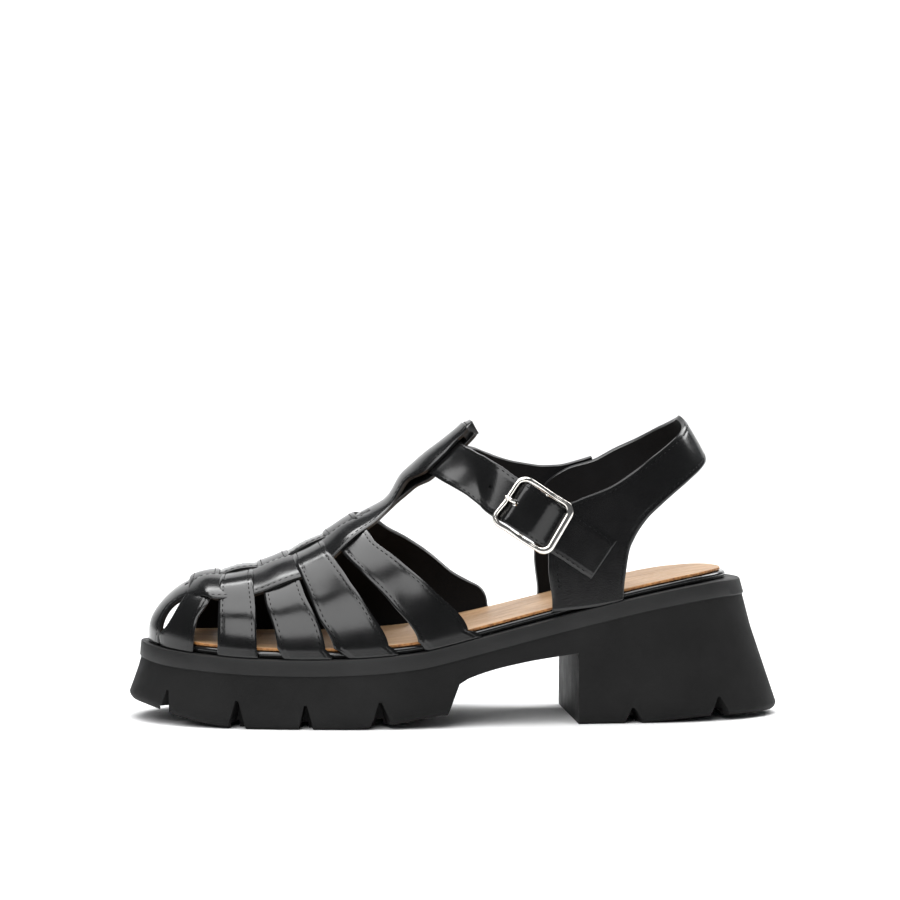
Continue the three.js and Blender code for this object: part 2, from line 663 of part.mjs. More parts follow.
function ridgeLength(along) {
  const x = placeAt(along);
  const i = ridge.points.findIndex((p) => p.x >= x);
  const [a, b] = [ridge.points[i - 1], ridge.points[i]];
  return ridge.lengths[i - 1] + ((x - a.x) / (b.x - a.x)) * (ridge.lengths[i] - ridge.lengths[i - 1]);
}

// A point on the last beside the ridge: cast from inside, turned by the way across over a mean radius
const CAST_RADIUS = 30;
function besideRidge(length, offset) {
  const here = ridgeAt(length);
  const along = ridgeAt(length + 1.5).sub(ridgeAt(Math.max(length - 1.5, 0))).normalize();
  const acrossWay = new THREE.Vector3(0, 1, 0);
  const up = new THREE.Vector3().crossVectors(along, acrossWay).normalize();
  if (up.dot(outward(here)) < 0) up.negate();
  const origin = here.clone().addScaledVector(up, -CAST_RADIUS);
  const angle = offset / CAST_RADIUS;
  const way = up.multiplyScalar(Math.cos(angle)).addScaledVector(acrossWay, Math.sin(angle));
  return castFrom(origin, way);
}

const spreadAt = (length) => BALL_WIDTH * follow(BAND, "spread", shareAt(ridgeAt(length).x));
function lengthwise(from, to, steps, columns, low, high, lift) {
  return strip(steps, columns, (i, j, skin) => {
    const length = from + (to - from) * i;
    const offset = low(length) + (high(length) - low(length)) * j;
    return lifted(besideRidge(length, offset), lift(length) + skin * STRAP_WALL);
  });
}

const STRAP_MIDDLES = CROSS_STRAPS.map((strap) => {
  const row = strap.rows.find(({ side }) => side === 0);
  return { over: strap.over, at: ridgeLength((row.front + row.rear) / 2) };
});
const toeEnd = ridgeLength(FINGERS_START);
const barStart = ridgeLength(FINGERS_END);
const fingerLift = (place) => {
  const rows = STRAP_MIDDLES.map(({ over, at }) => ({ at, layer: (over === "middle") === (place === "side") ? LAYER : 0 }));
  const crossings = [{ at: toeEnd, layer: 0 }, ...rows, { at: barStart, layer: 0 }];
  return (length) => weave(crossings, length);
};

function upperCage() {
  const bodies = CROSS_STRAPS.map(crossStrap);
  const lap = 2 * STRAP_WALL;
  const flat = () => 0;
  const whole = (sign) => (length) => sign * spreadAt(length);
  bodies.push(lengthwise(0, toeEnd + lap, 14, 6, whole(-1), whole(1), flat));
  const third = (length) => spreadAt(length) / 3;
  const fingers = [
    { low: (s) => -spreadAt(s), high: (s) => -third(s) - SLIT_WIDTH / 2, place: "side" },
    { low: (s) => -third(s) + SLIT_WIDTH / 2, high: (s) => third(s) - SLIT_WIDTH / 2, place: "middle" },
    { low: (s) => third(s) + SLIT_WIDTH / 2, high: (s) => spreadAt(s), place: "side" }];
  for (const finger of fingers) {
    bodies.push(lengthwise(toeEnd, barStart, 24, 3, finger.low, finger.high, fingerLift(finger.place)));
  }
  bodies.push(...loopBodies(whole, lap));
  return withoutPockets(joined(bodies));
}

// T-bar and its loop: one layer in front of the ankle strap, one behind it, joined in the ear above it
const FRONT_LIFT = STRAP_WALL + LOOP_ROOM + ANKLE_WALL + LOOP_ROOM;
function loopBodies(whole, lap) {
  const low = ridgeLengthAtHeight(ankleFront.low) - lap;
  const high = ridgeLengthAtHeight(ankleFront.high) + GAP;
  const rise = BAR_RISE_LENGTH;
  const frontLift = (length) => weave([{ at: low - rise, layer: 0 }, { at: low, layer: FRONT_LIFT }], length);
  const front = lengthwise(barStart - lap, high + EAR_LENGTH / 2, 18, 4, whole(-1), whole(1), frontLift);
  const back = lengthwise(low - 0.85 * rise, high + EAR_LENGTH / 2, 10, 4, whole(-1), whole(1), () => 0);
  const ear = strip(4, 4, (i, j, skin) => {
    const length = high + EAR_LENGTH * i;
    const offset = spreadAt(length) * (2 * j - 1) * (1 - 0.35 * i * i);
    const full = FRONT_LIFT + STRAP_WALL;
    const pinch = 0.32 * full * i * i;
    return lifted(besideRidge(length, offset), skin ? full - pinch : pinch);
  });
  return [front, back, ear];
}
function ridgeLengthAtHeight(z) {
  const i = ridge.points.findIndex((p) => p.z >= z && p.x > placeAt(0.3));
  const [a, b] = [ridge.points[i - 1], ridge.points[i]];
  return ridge.lengths[i - 1] + ((z - a.z) / (b.z - a.z)) * (ridge.lengths[i] - ridge.lengths[i - 1]);
}

// Points of the last by turn about the heel axis and height
const heelBase = HEEL_HEIGHT + STACK;
function turned(turn, z) {
  const axis = new THREE.Vector3(placeAt(HEEL_AXIS), 0, z);
  const angle = (turn * Math.PI) / 180;
  return castFrom(axis, new THREE.Vector3(Math.cos(angle), Math.sin(angle), 0), HEEL_REACH);
}

function quarterSling() {
  const rows = SLING.map((row, k) => ({ ...row, at: k }));
  const last = rows.length - 1;
  const height = (share, turn) => {
    const free = heelBase + SLING_HEIGHT * share;
    const foot = turned(turn, free);
    return Math.max(free, ledgeHeight(foot.x) + GAP);
  };
  return strip(2 * last, 4, (i, j, skin) => {
    const at = i * last;
    const [frontTurn, rearTurn] = [follow(rows, "frontTurn", at, "at"), follow(rows, "rearTurn", at, "at")];
    const [frontHigh, rearHigh] = [follow(rows, "frontHigh", at, "at"), follow(rows, "rearHigh", at, "at")];
    const turn = frontTurn + (rearTurn - frontTurn) * j;
    const z = height(frontHigh + (rearHigh - frontHigh) * j, turn);
    return lifted(turned(turn, z), skin * QUARTER_WALL);
  });
}

// Ankle strap: the middle line, with its two edges square to it
const ankleRows = ANKLE.map((row, k) => ({ ...row, at: k / (ANKLE.length - 1) }));
const anklePoint = (at) =>
  turned(follow(ankleRows, "turn", at, "at"), heelBase + SLING_HEIGHT * follow(ankleRows, "high", at, "at"));
const ankleFront = (() => {
  const row = ANKLE.find(({ turn }) => turn === 180);
  const middle = heelBase + SLING_HEIGHT * row.high;
  const steep = 0.4 * ANKLE_WIDTH;
  return { low: middle - steep, high: middle + steep };
})();
const ankleLine = (() => {
  const count = 120;
  const points = Array.from({ length: count + 1 }, (_, k) => anklePoint(k / count));
  const lengths = [0];
  for (let k = 1; k <= count; k += 1) lengths.push(lengths[k - 1] + points[k].distanceTo(points[k - 1]));
  const buckle = lengths.find((_, k) => follow(ankleRows, "turn", k / count, "at") >= BUCKLE_TURN);
  return { points, lengths, total: lengths[count], buckle };
})();
function ankleAt(length) {
  const { points, lengths } = ankleLine;
  let i = 0;
  while (i + 2 < lengths.length && lengths[i + 1] < length) i += 1;
  return points[i].clone().lerp(points[i + 1], (length - lengths[i]) / (lengths[i + 1] - lengths[i]));
}
const buckleAt = ankleLine.buckle;

function ankleFrame(length) {
  const here = ankleAt(length);
  const along = ankleAt(length + 1).sub(ankleAt(length - 1)).normalize();
  const out = outward(here);
  const across = new THREE.Vector3().crossVectors(out, along).normalize();
  return { here, along, out, across };
}
// Beside the strap's middle line, sunk back onto the last along the line's own outward direction
function besideAnkle(length, offset, out) {
  const frame = ankleFrame(length);
  const start = frame.here.clone().addScaledVector(frame.across, offset).addScaledVector(frame.out, -CAST_RADIUS / 2);
  return lifted(castFrom(start, frame.out, CAST_RADIUS), out);
}

const OVER_QUARTER = QUARTER_WALL + GAP;
const IN_LOOP = STRAP_WALL + LOOP_ROOM;
const BAR_RISE = BAR_DIAMETER + GAP;
function ankleLift(length) {
  const total = ankleLine.total;
  const nearBuckle = weave([
    { at: -0.44 * BUCKLE_LENGTH, layer: 0 }, { at: -0.3 * BUCKLE_LENGTH, layer: BAR_RISE },
    { at: BAR_DIAMETER / 2, layer: BAR_RISE }, { at: 0.36 * BUCKLE_LENGTH, layer: 0 }], length - buckleAt);
  const base = weave([
    { at: 0.2 * total, layer: OVER_QUARTER }, { at: 0.34 * total, layer: IN_LOOP },
    { at: 0.5 * total, layer: IN_LOOP }, { at: 0.6 * total, layer: OVER_QUARTER }], length);
  return base + nearBuckle;
}

function ankleStrap() {
  const total = ankleLine.total;
  const body = strip(52, 3, (i, j, skin) =>
    besideAnkle(total * i, ANKLE_WIDTH * (j - 0.5), ankleLift(total * i) + skin * ANKLE_WALL));
  return body.subtract(pinHole(prongHoleAt)).subtract(pinHole(prongHoleAt - PIN_HOLE_PITCH));
}

// Buckle frame: a rounded rectangle laid over the strap, high at its two ends and low at its centre bar
const frameHalfLength = BUCKLE_LENGTH / 2 - FRAME_WIDTH / 2;
const frameHalfWidth = ANKLE_WIDTH / 2 + FRAME_CLEARANCE + FRAME_WIDTH / 2;
const prongHoleAt = buckleAt - frameHalfLength + PRONG_REACH;
const endLift = OVER_QUARTER + ANKLE_WALL + FRAME_CLEARANCE + FRAME_THICKNESS / 2;
const barLift = OVER_QUARTER + BAR_DIAMETER / 2;
const frameWidthAt = (run) =>
  wave(FRAME_WIDTH, FRAME_REAR_WIDTH, Math.min(Math.max(2.5 * (run / frameHalfLength - 0.6), 0), 1));
const frameLift = (run) => {
  const share = Math.min(Math.abs(run) / frameHalfLength, 1);
  return wave(barLift + 0.3 * BAR_DIAMETER, endLift, share);
};

// A round or oval bar along a path on the strap, as joined rings
function bar(path, closed, wide, thick, sides = 8) {
  const count = path.length;
  const rings = path.map((p, k) => {
    const next = path[closed ? (k + 1) % count : Math.min(k + 1, count - 1)];
    const before = path[closed ? (k - 1 + count) % count : Math.max(k - 1, 0)];
    const along = next.place.clone().sub(before.place).normalize();
    const beside = new THREE.Vector3().crossVectors(along, p.up).normalize();
    const up = new THREE.Vector3().crossVectors(beside, along).normalize();
    return Array.from({ length: sides }, (_, s) => {
      const angle = (2 * Math.PI * (s + 0.5)) / sides;
      return p.place.clone().addScaledVector(beside, ((p.wide ?? wide) / 2) * Math.cos(angle))
        .addScaledVector(up, (thick / 2) * Math.sin(angle));
    });
  });
  const positions = rings.flat().flatMap((p) => p.toArray());
  const indices = [];
  for (let k = 0; k < (closed ? count : count - 1); k += 1) {
    for (let s = 0; s < sides; s += 1) {
      const a = k * sides + s;
      const b = k * sides + ((s + 1) % sides);
      const c = ((k + 1) % count) * sides + ((s + 1) % sides);
      const d = ((k + 1) % count) * sides + s;
      indices.push(a, b, c, a, c, d);
    }
  }
  if (!closed) {
    for (let s = 1; s + 1 < sides; s += 1) {
      const end = (count - 1) * sides;
      indices.push(0, s + 1, s, end, end + s, end + s + 1);
    }
  }
  return solidFrom(positions, indices);
}

const onStrap = (run, offset, out) => {
  const place = besideAnkle(buckleAt + run, offset, out);
  return { place, up: outward(besideAnkle(buckleAt + run, offset, 0)) };
};

function buckleFrame() {
  const path = [];
  const corner = FRAME_CORNER - FRAME_WIDTH / 2;
  const corners = [
    { x: 1, y: 1, from: 0 }, { x: -1, y: 1, from: 90 }, { x: -1, y: -1, from: 180 }, { x: 1, y: -1, from: 270 }];
  for (const { x, y, from } of corners) {
    for (const turn of [0, 30, 60, 90]) {
      const angle = ((from + turn) * Math.PI) / 180;
      const run = x * (frameHalfLength - corner) + corner * Math.cos(angle);
      const offset = y * (frameHalfWidth - corner) + corner * Math.sin(angle);
      path.push({ ...onStrap(run, offset, frameLift(run)), wide: frameWidthAt(run) });
    }
    if (y === 1 && x === 1) for (const share of [0.5, 0, -0.5]) path.push(onRail(share, 1));
    if (y === -1 && x === -1) for (const share of [-0.5, 0, 0.5]) path.push(onRail(share, -1));
  }
  const frame = bar(path, true, FRAME_WIDTH, FRAME_THICKNESS, 8);
  const centre = bar(
    [-1, -0.5, 0, 0.5, 1].map((share) => onStrap(0, share * frameHalfWidth, barLift)), false,
    BAR_DIAMETER, BAR_DIAMETER, 8);
  return frame.add(centre);
}
const onRail = (share, side) => {
  const run = share * frameHalfLength * 0.8;
  return onStrap(run, side * frameHalfWidth, frameLift(run));
};

function pinHole(length) {
  const lift = ankleLift(length);
  const path = [lift - 2, lift + ANKLE_WALL + 2].map((out) => ({
    place: besideAnkle(length, 0, out), up: ankleFrame(length).along }));
  return bar(path, false, PIN_HOLE, PIN_HOLE);
}

// Prong: from just beside the centre bar, under the strap and up through its hole, onto the frame's front end
function buckleProng() {
  const radius = PRONG_DIAMETER / 2;
  const hole = prongHoleAt - buckleAt;
  const under = barLift - 0.1;
  const over = endLift + FRAME_THICKNESS / 2 + GAP + radius;
  const places = [
    [-BAR_DIAMETER / 2 - GAP - radius, under],
    [hole + 1.6, under],
    [hole + 0.5, under + 0.5],
    [hole + 0.1, under + 1.5],
    [hole - 0.1, over - 1.2],
    [hole - 0.7, over - 0.3],
    [hole - 1.7, over],
    [-frameHalfLength - 1.2, over - 0.1],
  ];
  return bar(places.map(([run, out]) => onStrap(run, 0, out)), false, PRONG_DIAMETER, PRONG_DIAMETER);
}

const sandal = new THREE.Group();
sandal.add(toMesh(outsole(), "outsole", COLOURS.rubber, 0.7));
sandal.add(toMesh(plate(footbedBase, FOOTBED_THICKNESS, 0, FOOTBED_EDGE_ROUND), "footbed", COLOURS.leather, 0.2));
sandal.add(toMesh(plate(insoleBase, INSOLE_THICKNESS, INSOLE_INSET, 0.4), "insole", COLOURS.tan, 0.5));
sandal.add(toMesh(upperCage(), "upper_cage", COLOURS.leather, 0.15));
sandal.add(toMesh(quarterSling(), "quarter_sling", COLOURS.leather, 0.15));
sandal.add(toMesh(ankleStrap(), "ankle_strap", COLOURS.leather, 0.15));
sandal.add(toMesh(buckleFrame(), "buckle_frame", COLOURS.steel, 0.15, 1));
sandal.add(toMesh(buckleProng(), "buckle_prong", COLOURS.steel, 0.15, 1));

export default sandal;
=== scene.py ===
# %% [markdown]
# # A fisherman sandal for the left foot
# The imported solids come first, as the fixed frame that every visible piece is fitted to. The straps, sole
# and buckle are then made again in finer form from the same few measures of the shoe: its last, its outline
# and the edges of its straps. Lengths are in millimetres until a mesh is made, because shoes are measured
# that way.

# %% Load the frame
import math

import bpy
import numpy as np
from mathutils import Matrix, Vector


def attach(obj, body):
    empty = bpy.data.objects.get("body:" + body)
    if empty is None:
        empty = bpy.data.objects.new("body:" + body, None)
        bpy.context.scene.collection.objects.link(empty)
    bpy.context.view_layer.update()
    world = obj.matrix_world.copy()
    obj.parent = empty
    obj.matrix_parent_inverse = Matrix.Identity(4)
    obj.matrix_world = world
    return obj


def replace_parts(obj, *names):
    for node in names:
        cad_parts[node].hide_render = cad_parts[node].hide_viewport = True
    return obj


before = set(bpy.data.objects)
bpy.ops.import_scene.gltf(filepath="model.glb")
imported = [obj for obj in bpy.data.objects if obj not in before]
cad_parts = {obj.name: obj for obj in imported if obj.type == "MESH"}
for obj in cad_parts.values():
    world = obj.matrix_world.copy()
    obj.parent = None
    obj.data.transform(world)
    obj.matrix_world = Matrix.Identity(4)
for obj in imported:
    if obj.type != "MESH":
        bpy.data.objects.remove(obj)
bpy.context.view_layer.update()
MM = 0.001
print("solids:", sorted(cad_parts))

# %% [markdown]
# ## Camera
# The photograph shows the outer side from a little above the sole, taken with a long lens, which keeps the
# shoe's proportions true. A camera could be placed by eye in the viewport. Here its place, aim and lens were
# found by comparing renders with the photograph. The Standard view keeps the white floor white, where
# Blender's usual view would grey it.

# %% Camera
bpy.ops.object.camera_add(location=(-0.11905, -1.39326, 0.172))
camera = bpy.context.object
camera.rotation_euler = Vector((0.0836, 0.9957, -0.0401)).to_track_quat("-Z", "Y").to_euler()
camera.data.sensor_width = 36
camera.data.lens = 128.24
camera.data.clip_end = 20
bpy.context.scene.camera = camera
bpy.context.scene.view_settings.view_transform = "Standard"
print("lens", round(camera.data.lens, 1), "mm")


# %% [markdown]
# ## Working helpers
# Nearly every piece starts as a flat sheet, as the real straps are cut from flat hide. The sheet is a grid
# primitive whose points are laid where a formula says, which gives even faces along and across a strap. It
# could be bent with modifiers instead, but then its edges could not follow measured lines. An operator works
# on all that is selected, so each helper first clears the selection.

# %% Helpers for meshes
def deselect():
    if bpy.context.object and bpy.context.object.mode != "OBJECT":
        bpy.ops.object.mode_set(mode="OBJECT")
    bpy.ops.object.select_all(action="DESELECT")


def select(active, *others):
    deselect()
    for piece in (active, *others):
        piece.select_set(True)
    bpy.context.view_layer.objects.active = active


def points_of(mesh):
    flat = np.empty(len(mesh.vertices) * 3)
    mesh.vertices.foreach_get("co", flat)
    return flat.reshape(-1, 3)


def cut_sheet(name, along, across, wrap, rows=None):
    """A flat grid cut from the hide, then laid where wrap(u, v) says. rows gives each row's material."""
    deselect()
    bpy.ops.mesh.primitive_grid_add(x_subdivisions=along, y_subdivisions=across, size=1)
    piece = bpy.context.object
    piece.name = piece.data.name = name
    flat = points_of(piece.data)
    if rows is not None:
        for face in piece.data.polygons:
            row = int((face.center.y + 0.5) * across)
            face.material_index = rows[min(row, across - 1)]
    placed = wrap(flat[:, 0] + 0.5, flat[:, 1] + 0.5) * MM
    piece.data.vertices.foreach_set("co", placed.ravel())
    piece.data.update()
    return piece


def edit_all(piece, *steps):
    select(piece)
    bpy.ops.object.mode_set(mode="EDIT")
    bpy.ops.mesh.select_all(action="SELECT")
    for step in steps:
        step()
    bpy.ops.object.mode_set(mode="OBJECT")


def weld(distance=0.00001):
    bpy.ops.mesh.remove_doubles(threshold=distance)


def face_out():
    bpy.ops.mesh.normals_make_consistent(inside=False)


def modified(piece, kind, **settings):
    select(piece)
    modifier = piece.modifiers.new(kind, kind)
    for key, value in settings.items():
        setattr(modifier, key, value)
    bpy.ops.object.modifier_apply(modifier=modifier.name)


def smooth(piece, angle=38):
    select(piece)
    bpy.ops.object.shade_smooth_by_angle(angle=math.radians(angle))


def finished(piece, slot, *materials):
    for material in materials:
        piece.data.materials.append(material)
    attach(piece, "root")
    print(piece.name, len(piece.data.polygons), "faces")
    return piece


# %% [markdown]
# ## The shoe's measures
# A last is the foot-shaped form that a shoe is built round. It is drawn as a plan outline, a line of heights
# along it and a section at each place. It could be sculpted, but a few rows in a table are easier to check
# against a real size, and every piece can be worked out from the same rows.

# %% Measures
FOOTBED_LENGTH = 250
BALL_WIDTH = 88
INSTEP_HEIGHT = 78
TOE_ROUND, HEEL_ROUND = 42, 36
PLATFORM_HEIGHT, HEEL_HEIGHT = 29, 60
TOE_SPRING = 8
BAND_HEIGHT, BAND_STEP = 6.6, 0.6
TOE_LEDGE, SIDE_LEDGE, HEEL_LEDGE = 5.6, 4, 6.3
TOE_FLARE, BALL_FLARE, HEEL_SIDE_FLARE, HEEL_FLARE = 5, 3.6, 1.6, 16.4
TREAD_CORNER = 3
WAIST_THICKNESS = 17
FOOTBED_THICKNESS, INSOLE_THICKNESS, INSOLE_INSET = 2.8, 1.3, 0.8
GAP, LAST_ROOM = 0.3, 0.5
STRAP_WALL, QUARTER_WALL, ANKLE_WALL = 1.8, 2.2, 1.8
SLING_HEIGHT, SLING_LEAN = 66, 18
SOLE_LENGTH = FOOTBED_LENGTH + TOE_LEDGE + TOE_FLARE + HEEL_LEDGE + HEEL_FLARE
FOOTBED_TIP = TOE_LEDGE + TOE_FLARE - SOLE_LENGTH / 2
FOOTBED_BACK = FOOTBED_TIP + FOOTBED_LENGTH
STACK = GAP + FOOTBED_THICKNESS + GAP + INSOLE_THICKNESS
# How far a woven strip is lifted over the one below it
LAYER = 1.75

# Middle line and half width of the footbed, as shares of the ball width, from toe to heel
PLAN = {
    "along": [0.0, 0.12, 0.25, 0.36, 0.5, 0.62, 0.75, 0.88, 1.0],
    "centre": [0.0625, 0.0475, 0.0125, -0.0075, -0.0275, -0.0375, -0.0225, -0.0075, -0.0075],
    "half": [0.42, 0.455, 0.49, 0.5, 0.445, 0.385, 0.365, 0.365, 0.355],
}
# Height of the sole's ledge as a share of the way from platform to heel, and of the tread as a share of
# the toe spring
LEDGE = {
    "along": [-0.024, 0.016, 0.08, 0.185, 0.26, 0.325, 0.434, 0.555, 0.66, 0.763, 0.872, 0.928, 0.985, 1.05],
    "rise": [0.155, 0.095, 0.052, 0.008, 0.0, 0.012, 0.075, 0.28, 0.487, 0.685, 0.88, 0.955, 1.0, 1.0],
}
TREAD = {
    "along": [-0.05, -0.02, 0.044, 0.084, 0.124, 0.17, 0.33, 0.38, 0.412, 0.5, 0.72, 0.83, 0.9, 0.95, 1.1],
    "lift": [1.1, 0.98, 0.5, 0.24, 0.075, 0.0, 0.0, 0.17, 0.29, 0.68, 0.0, 0.0, 0.16, 0.27, 0.27],
}
# Sections of the last: height as a share of the instep, fullness, and lean to the inner side
LAST = {
    "along": [0.0, 0.05, 0.08, 0.12, 0.18, 0.236, 0.292, 0.354, 0.419,
              0.457, 0.486, 0.527, 0.56, 0.6, 0.66, 0.75, 1.0],
    "high": [0.314, 0.354, 0.36, 0.351, 0.383, 0.452, 0.54, 0.66, 0.76,
             0.85, 0.915, 0.985, 1.06, 1.32, 1.6, 1.75, 1.75],
    "full": [2.3, 2.3, 2.3, 2.3, 2.25, 2.2, 2.1, 2.0, 1.9, 1.85, 1.85, 1.85, 1.9, 2.15, 2.6, 3.0, 3.0],
    "lean": [0.0, 0.011, 0.023, 0.034, 0.045, 0.057, 0.057, 0.057, 0.057,
             0.045, 0.034, 0.023, 0.011, 0.0, 0.0, 0.0, 0.0],
}
print("sole", round(SOLE_LENGTH, 1), "mm long")


# %% [markdown]
# ### Curves through the tables
# A common spline could swing past its rows and put a bump in the sole. This cubic is level at every peak and
# elsewhere takes the harmonic mean of the two slopes beside a row, so it never leaves the range of its rows.
# The outline closes at toe and heel in quarter circles.

# %% Curves through the tables
def follow(table, column, at, by="along"):
    """The table's column where its other column, by, has the value at."""
    x, y = np.array(table[by], float), np.array(table[column], float)
    at = np.clip(np.asarray(at, float), x[0], x[-1])
    i = np.clip(np.searchsorted(x, at, side="right") - 1, 0, len(x) - 2)
    run = np.diff(x)
    pitch = np.diff(y) / run
    before, after = pitch[:-1], pitch[1:]
    level = before * after <= 0
    middle = np.where(level, 0, 2 * before * after / np.where(level, 1, before + after))
    slope = np.concatenate([[pitch[0]], middle, [pitch[-1]]])
    s = (at - x[i]) / run[i]
    blend = s * s * (3 - 2 * s)
    bend = s * (1 - s) * ((1 - s) * slope[i] - s * slope[i + 1]) * run[i]
    return y[i] * (1 - blend) + y[i + 1] * blend + bend


def share_at(x):
    return (x - FOOTBED_TIP) / FOOTBED_LENGTH


def place_at(along):
    return FOOTBED_TIP + FOOTBED_LENGTH * along


def ledge_height(x):
    return PLATFORM_HEIGHT + (HEEL_HEIGHT - PLATFORM_HEIGHT) * follow(LEDGE, "rise", share_at(x))


def tread_height(x):
    return TOE_SPRING * follow(TREAD, "lift", share_at(x))


def insole_top(x):
    return ledge_height(x) + STACK


def round_end(q):
    return np.sqrt(np.clip(1 - np.clip(1 - q, 0, None) ** 2, 0, 1))


def outline(x, toe, side, heel, back=FOOTBED_BACK):
    """Middle, half width and closing share of the footbed's outline, grown at toe, side and heel."""
    along = share_at(x)
    close = round_end((x - FOOTBED_TIP + toe) / (TOE_ROUND + toe))
    close = close * round_end((back + heel - x) / (HEEL_ROUND + heel))
    centre = BALL_WIDTH * follow(PLAN, "centre", along)
    half = BALL_WIDTH * follow(PLAN, "half", along) + side
    return centre, half, close


print("ledge", round(float(ledge_height(place_at(0.5))), 1), "mm high at the waist")


# %% [markdown]
# ## The last as a surface
# The last is never shown, but every strap lies on it. It could be a hidden mesh, with the straps drawn onto
# it by a Shrinkwrap modifier. As a formula it is exact: its skin is where a depth value is zero, so a
# strap's point is cast onto it from inside, and the slope of the same value gives the way out for a wall or
# a weave.

# %% Skin of the last
def back_at(z):
    up = np.clip(z - HEEL_HEIGHT - STACK, 0, None) / SLING_HEIGHT
    return FOOTBED_BACK - SLING_LEAN * up * up


def last_section(x, z):
    along = share_at(x)
    centre, half, close = outline(x, LAST_ROOM, LAST_ROOM, LAST_ROOM, back_at(z))
    high = INSTEP_HEIGHT * follow(LAST, "high", along)
    return centre, half, close, high, follow(LAST, "full", along), BALL_WIDTH * follow(LAST, "lean", along)


def depth(p):
    """Below zero inside the last, zero on its skin, above zero outside."""
    centre, half, close, high, full, lean = last_section(p[:, 0], p[:, 2])
    up = np.clip(p[:, 2] - insole_top(p[:, 0]), 0, None) / high
    wide = np.abs(p[:, 1] - centre - lean * up) / half
    return wide**full + up**full - close**full


def unit(v):
    return v / np.linalg.norm(v, axis=1, keepdims=True)


def outward(p):
    step = 0.05
    slopes = [depth(p + step * axis) - depth(p - step * axis) for axis in np.eye(3)]
    return unit(np.stack(slopes, axis=1))


def lifted(p, out):
    return p + outward(p) * np.broadcast_to(out, len(p))[:, None]


HALVINGS = 30


def cast_from(origin, way, far=90.0):
    """Where a line from inside the last meets its skin, found by halving the way again and again."""
    near, end = np.zeros(len(origin)), np.full(len(origin), far)
    for _ in range(HALVINGS):
        middle = (near + end) / 2
        inside = depth(origin + way * middle[:, None]) < 0
        near, end = np.where(inside, middle, near), np.where(inside, end, middle)
    return origin + way * near[:, None]


def skin_point(x, side):
    """The skin at a place along the shoe: side 0 is the ridge, 1 and -1 the insole's edges, 2 the ledge."""
    centre, half, close, high, full, lean = last_section(x, np.zeros_like(x))
    sign, reach = np.where(side < 0, -1, 1), np.abs(side)
    angle = np.clip(1 - reach, 0, 1) * math.pi / 2
    up = close * np.sin(angle) ** (2 / full)
    wide = close * np.cos(angle) ** (2 / full)
    y = centre + sign * half * wide + lean * up
    z = insole_top(x) + high * up - np.clip(reach - 1, 0, None) * STACK
    return np.stack([x, y, z], axis=1)


def wave(start, end, share):
    return start + (end - start) * (0.5 - 0.5 * np.cos(math.pi * share))


def weave(crossings, at):
    """Height over the last along a strap: a smooth wave through (place, layer) pairs."""
    places, layers = np.array(crossings, float).T
    at = np.clip(at, places[0], places[-1])
    i = np.clip(np.searchsorted(places, at, side="right") - 1, 0, len(places) - 2)
    return wave(layers[i], layers[i + 1], (at - places[i]) / (places[i + 1] - places[i]))


ball_top = skin_point(np.array([place_at(0.3)]), np.zeros(1))[0, 2]
print("last", round(float(ball_top), 1), "mm high over the ball")


# %% [markdown]
# ## Finishes
# The real finishes are gloss black leather with its lining, cut edge and thread, moulded rubber, a tan
# insole with a cork-coloured edge, and polished steel. Their grain and mottling could be painted as images,
# but noise made in the shader stays sharp at any distance. Several finishes use them, so each is a node
# group with its own inputs.

# %% Node groups
def node_group(name, inputs, output):
    group = bpy.data.node_groups.new(name, "ShaderNodeTree")
    for label, value in inputs.items():
        socket = group.interface.new_socket(label, in_out="INPUT", socket_type="NodeSocketFloat")
        socket.default_value = value
    group.interface.new_socket(output, in_out="OUTPUT", socket_type="NodeSocketFloat")
    enter, leave = group.nodes.new("NodeGroupInput"), group.nodes.new("NodeGroupOutput")
    place = group.nodes.new("ShaderNodeTexCoord").outputs["Object"]
    return group, enter, leave, place


def noise_at(group, place, scale, detail=3.0):
    noise = group.nodes.new("ShaderNodeTexNoise")
    noise.inputs["Detail"].default_value = detail
    group.links.new(place, noise.inputs["Vector"])
    if isinstance(scale, (int, float)):
        noise.inputs["Scale"].default_value = scale
    else:
        group.links.new(scale, noise.inputs["Scale"])
    return noise.outputs["Fac"]


def combined(group, operation, a, b):
    math_node = group.nodes.new("ShaderNodeMath")
    math_node.operation = operation
    for socket, value in zip(math_node.inputs, (a, b)):
        if isinstance(value, (int, float)):
            socket.default_value = value
        else:
            group.links.new(value, socket)
    return math_node.outputs[0]


mottle_inputs = {"Scale": 60.0, "Low": 0.0, "High": 1.0, "Along": 1.0}
mottle, enter, leave, place = node_group("mottle", mottle_inputs, "Value")
parts = mottle.nodes.new("ShaderNodeSeparateXYZ")
mottle.links.new(place, parts.inputs[0])
stretched = mottle.nodes.new("ShaderNodeCombineXYZ")
drawn_out = combined(mottle, "MULTIPLY", parts.outputs["X"], enter.outputs["Along"])
mottle.links.new(drawn_out, stretched.inputs["X"])
mottle.links.new(parts.outputs["Y"], stretched.inputs["Y"])
mottle.links.new(parts.outputs["Z"], stretched.inputs["Z"])
cloud = noise_at(mottle, stretched.outputs["Vector"], enter.outputs["Scale"])
spread = mottle.nodes.new("ShaderNodeMapRange")
spread.inputs["From Min"].default_value = 0.3
spread.inputs["From Max"].default_value = 0.7
mottle.links.new(cloud, spread.inputs["Value"])
mottle.links.new(enter.outputs["Low"], spread.inputs["To Min"])
mottle.links.new(enter.outputs["High"], spread.inputs["To Max"])
mottle.links.new(spread.outputs["Result"], leave.inputs["Value"])

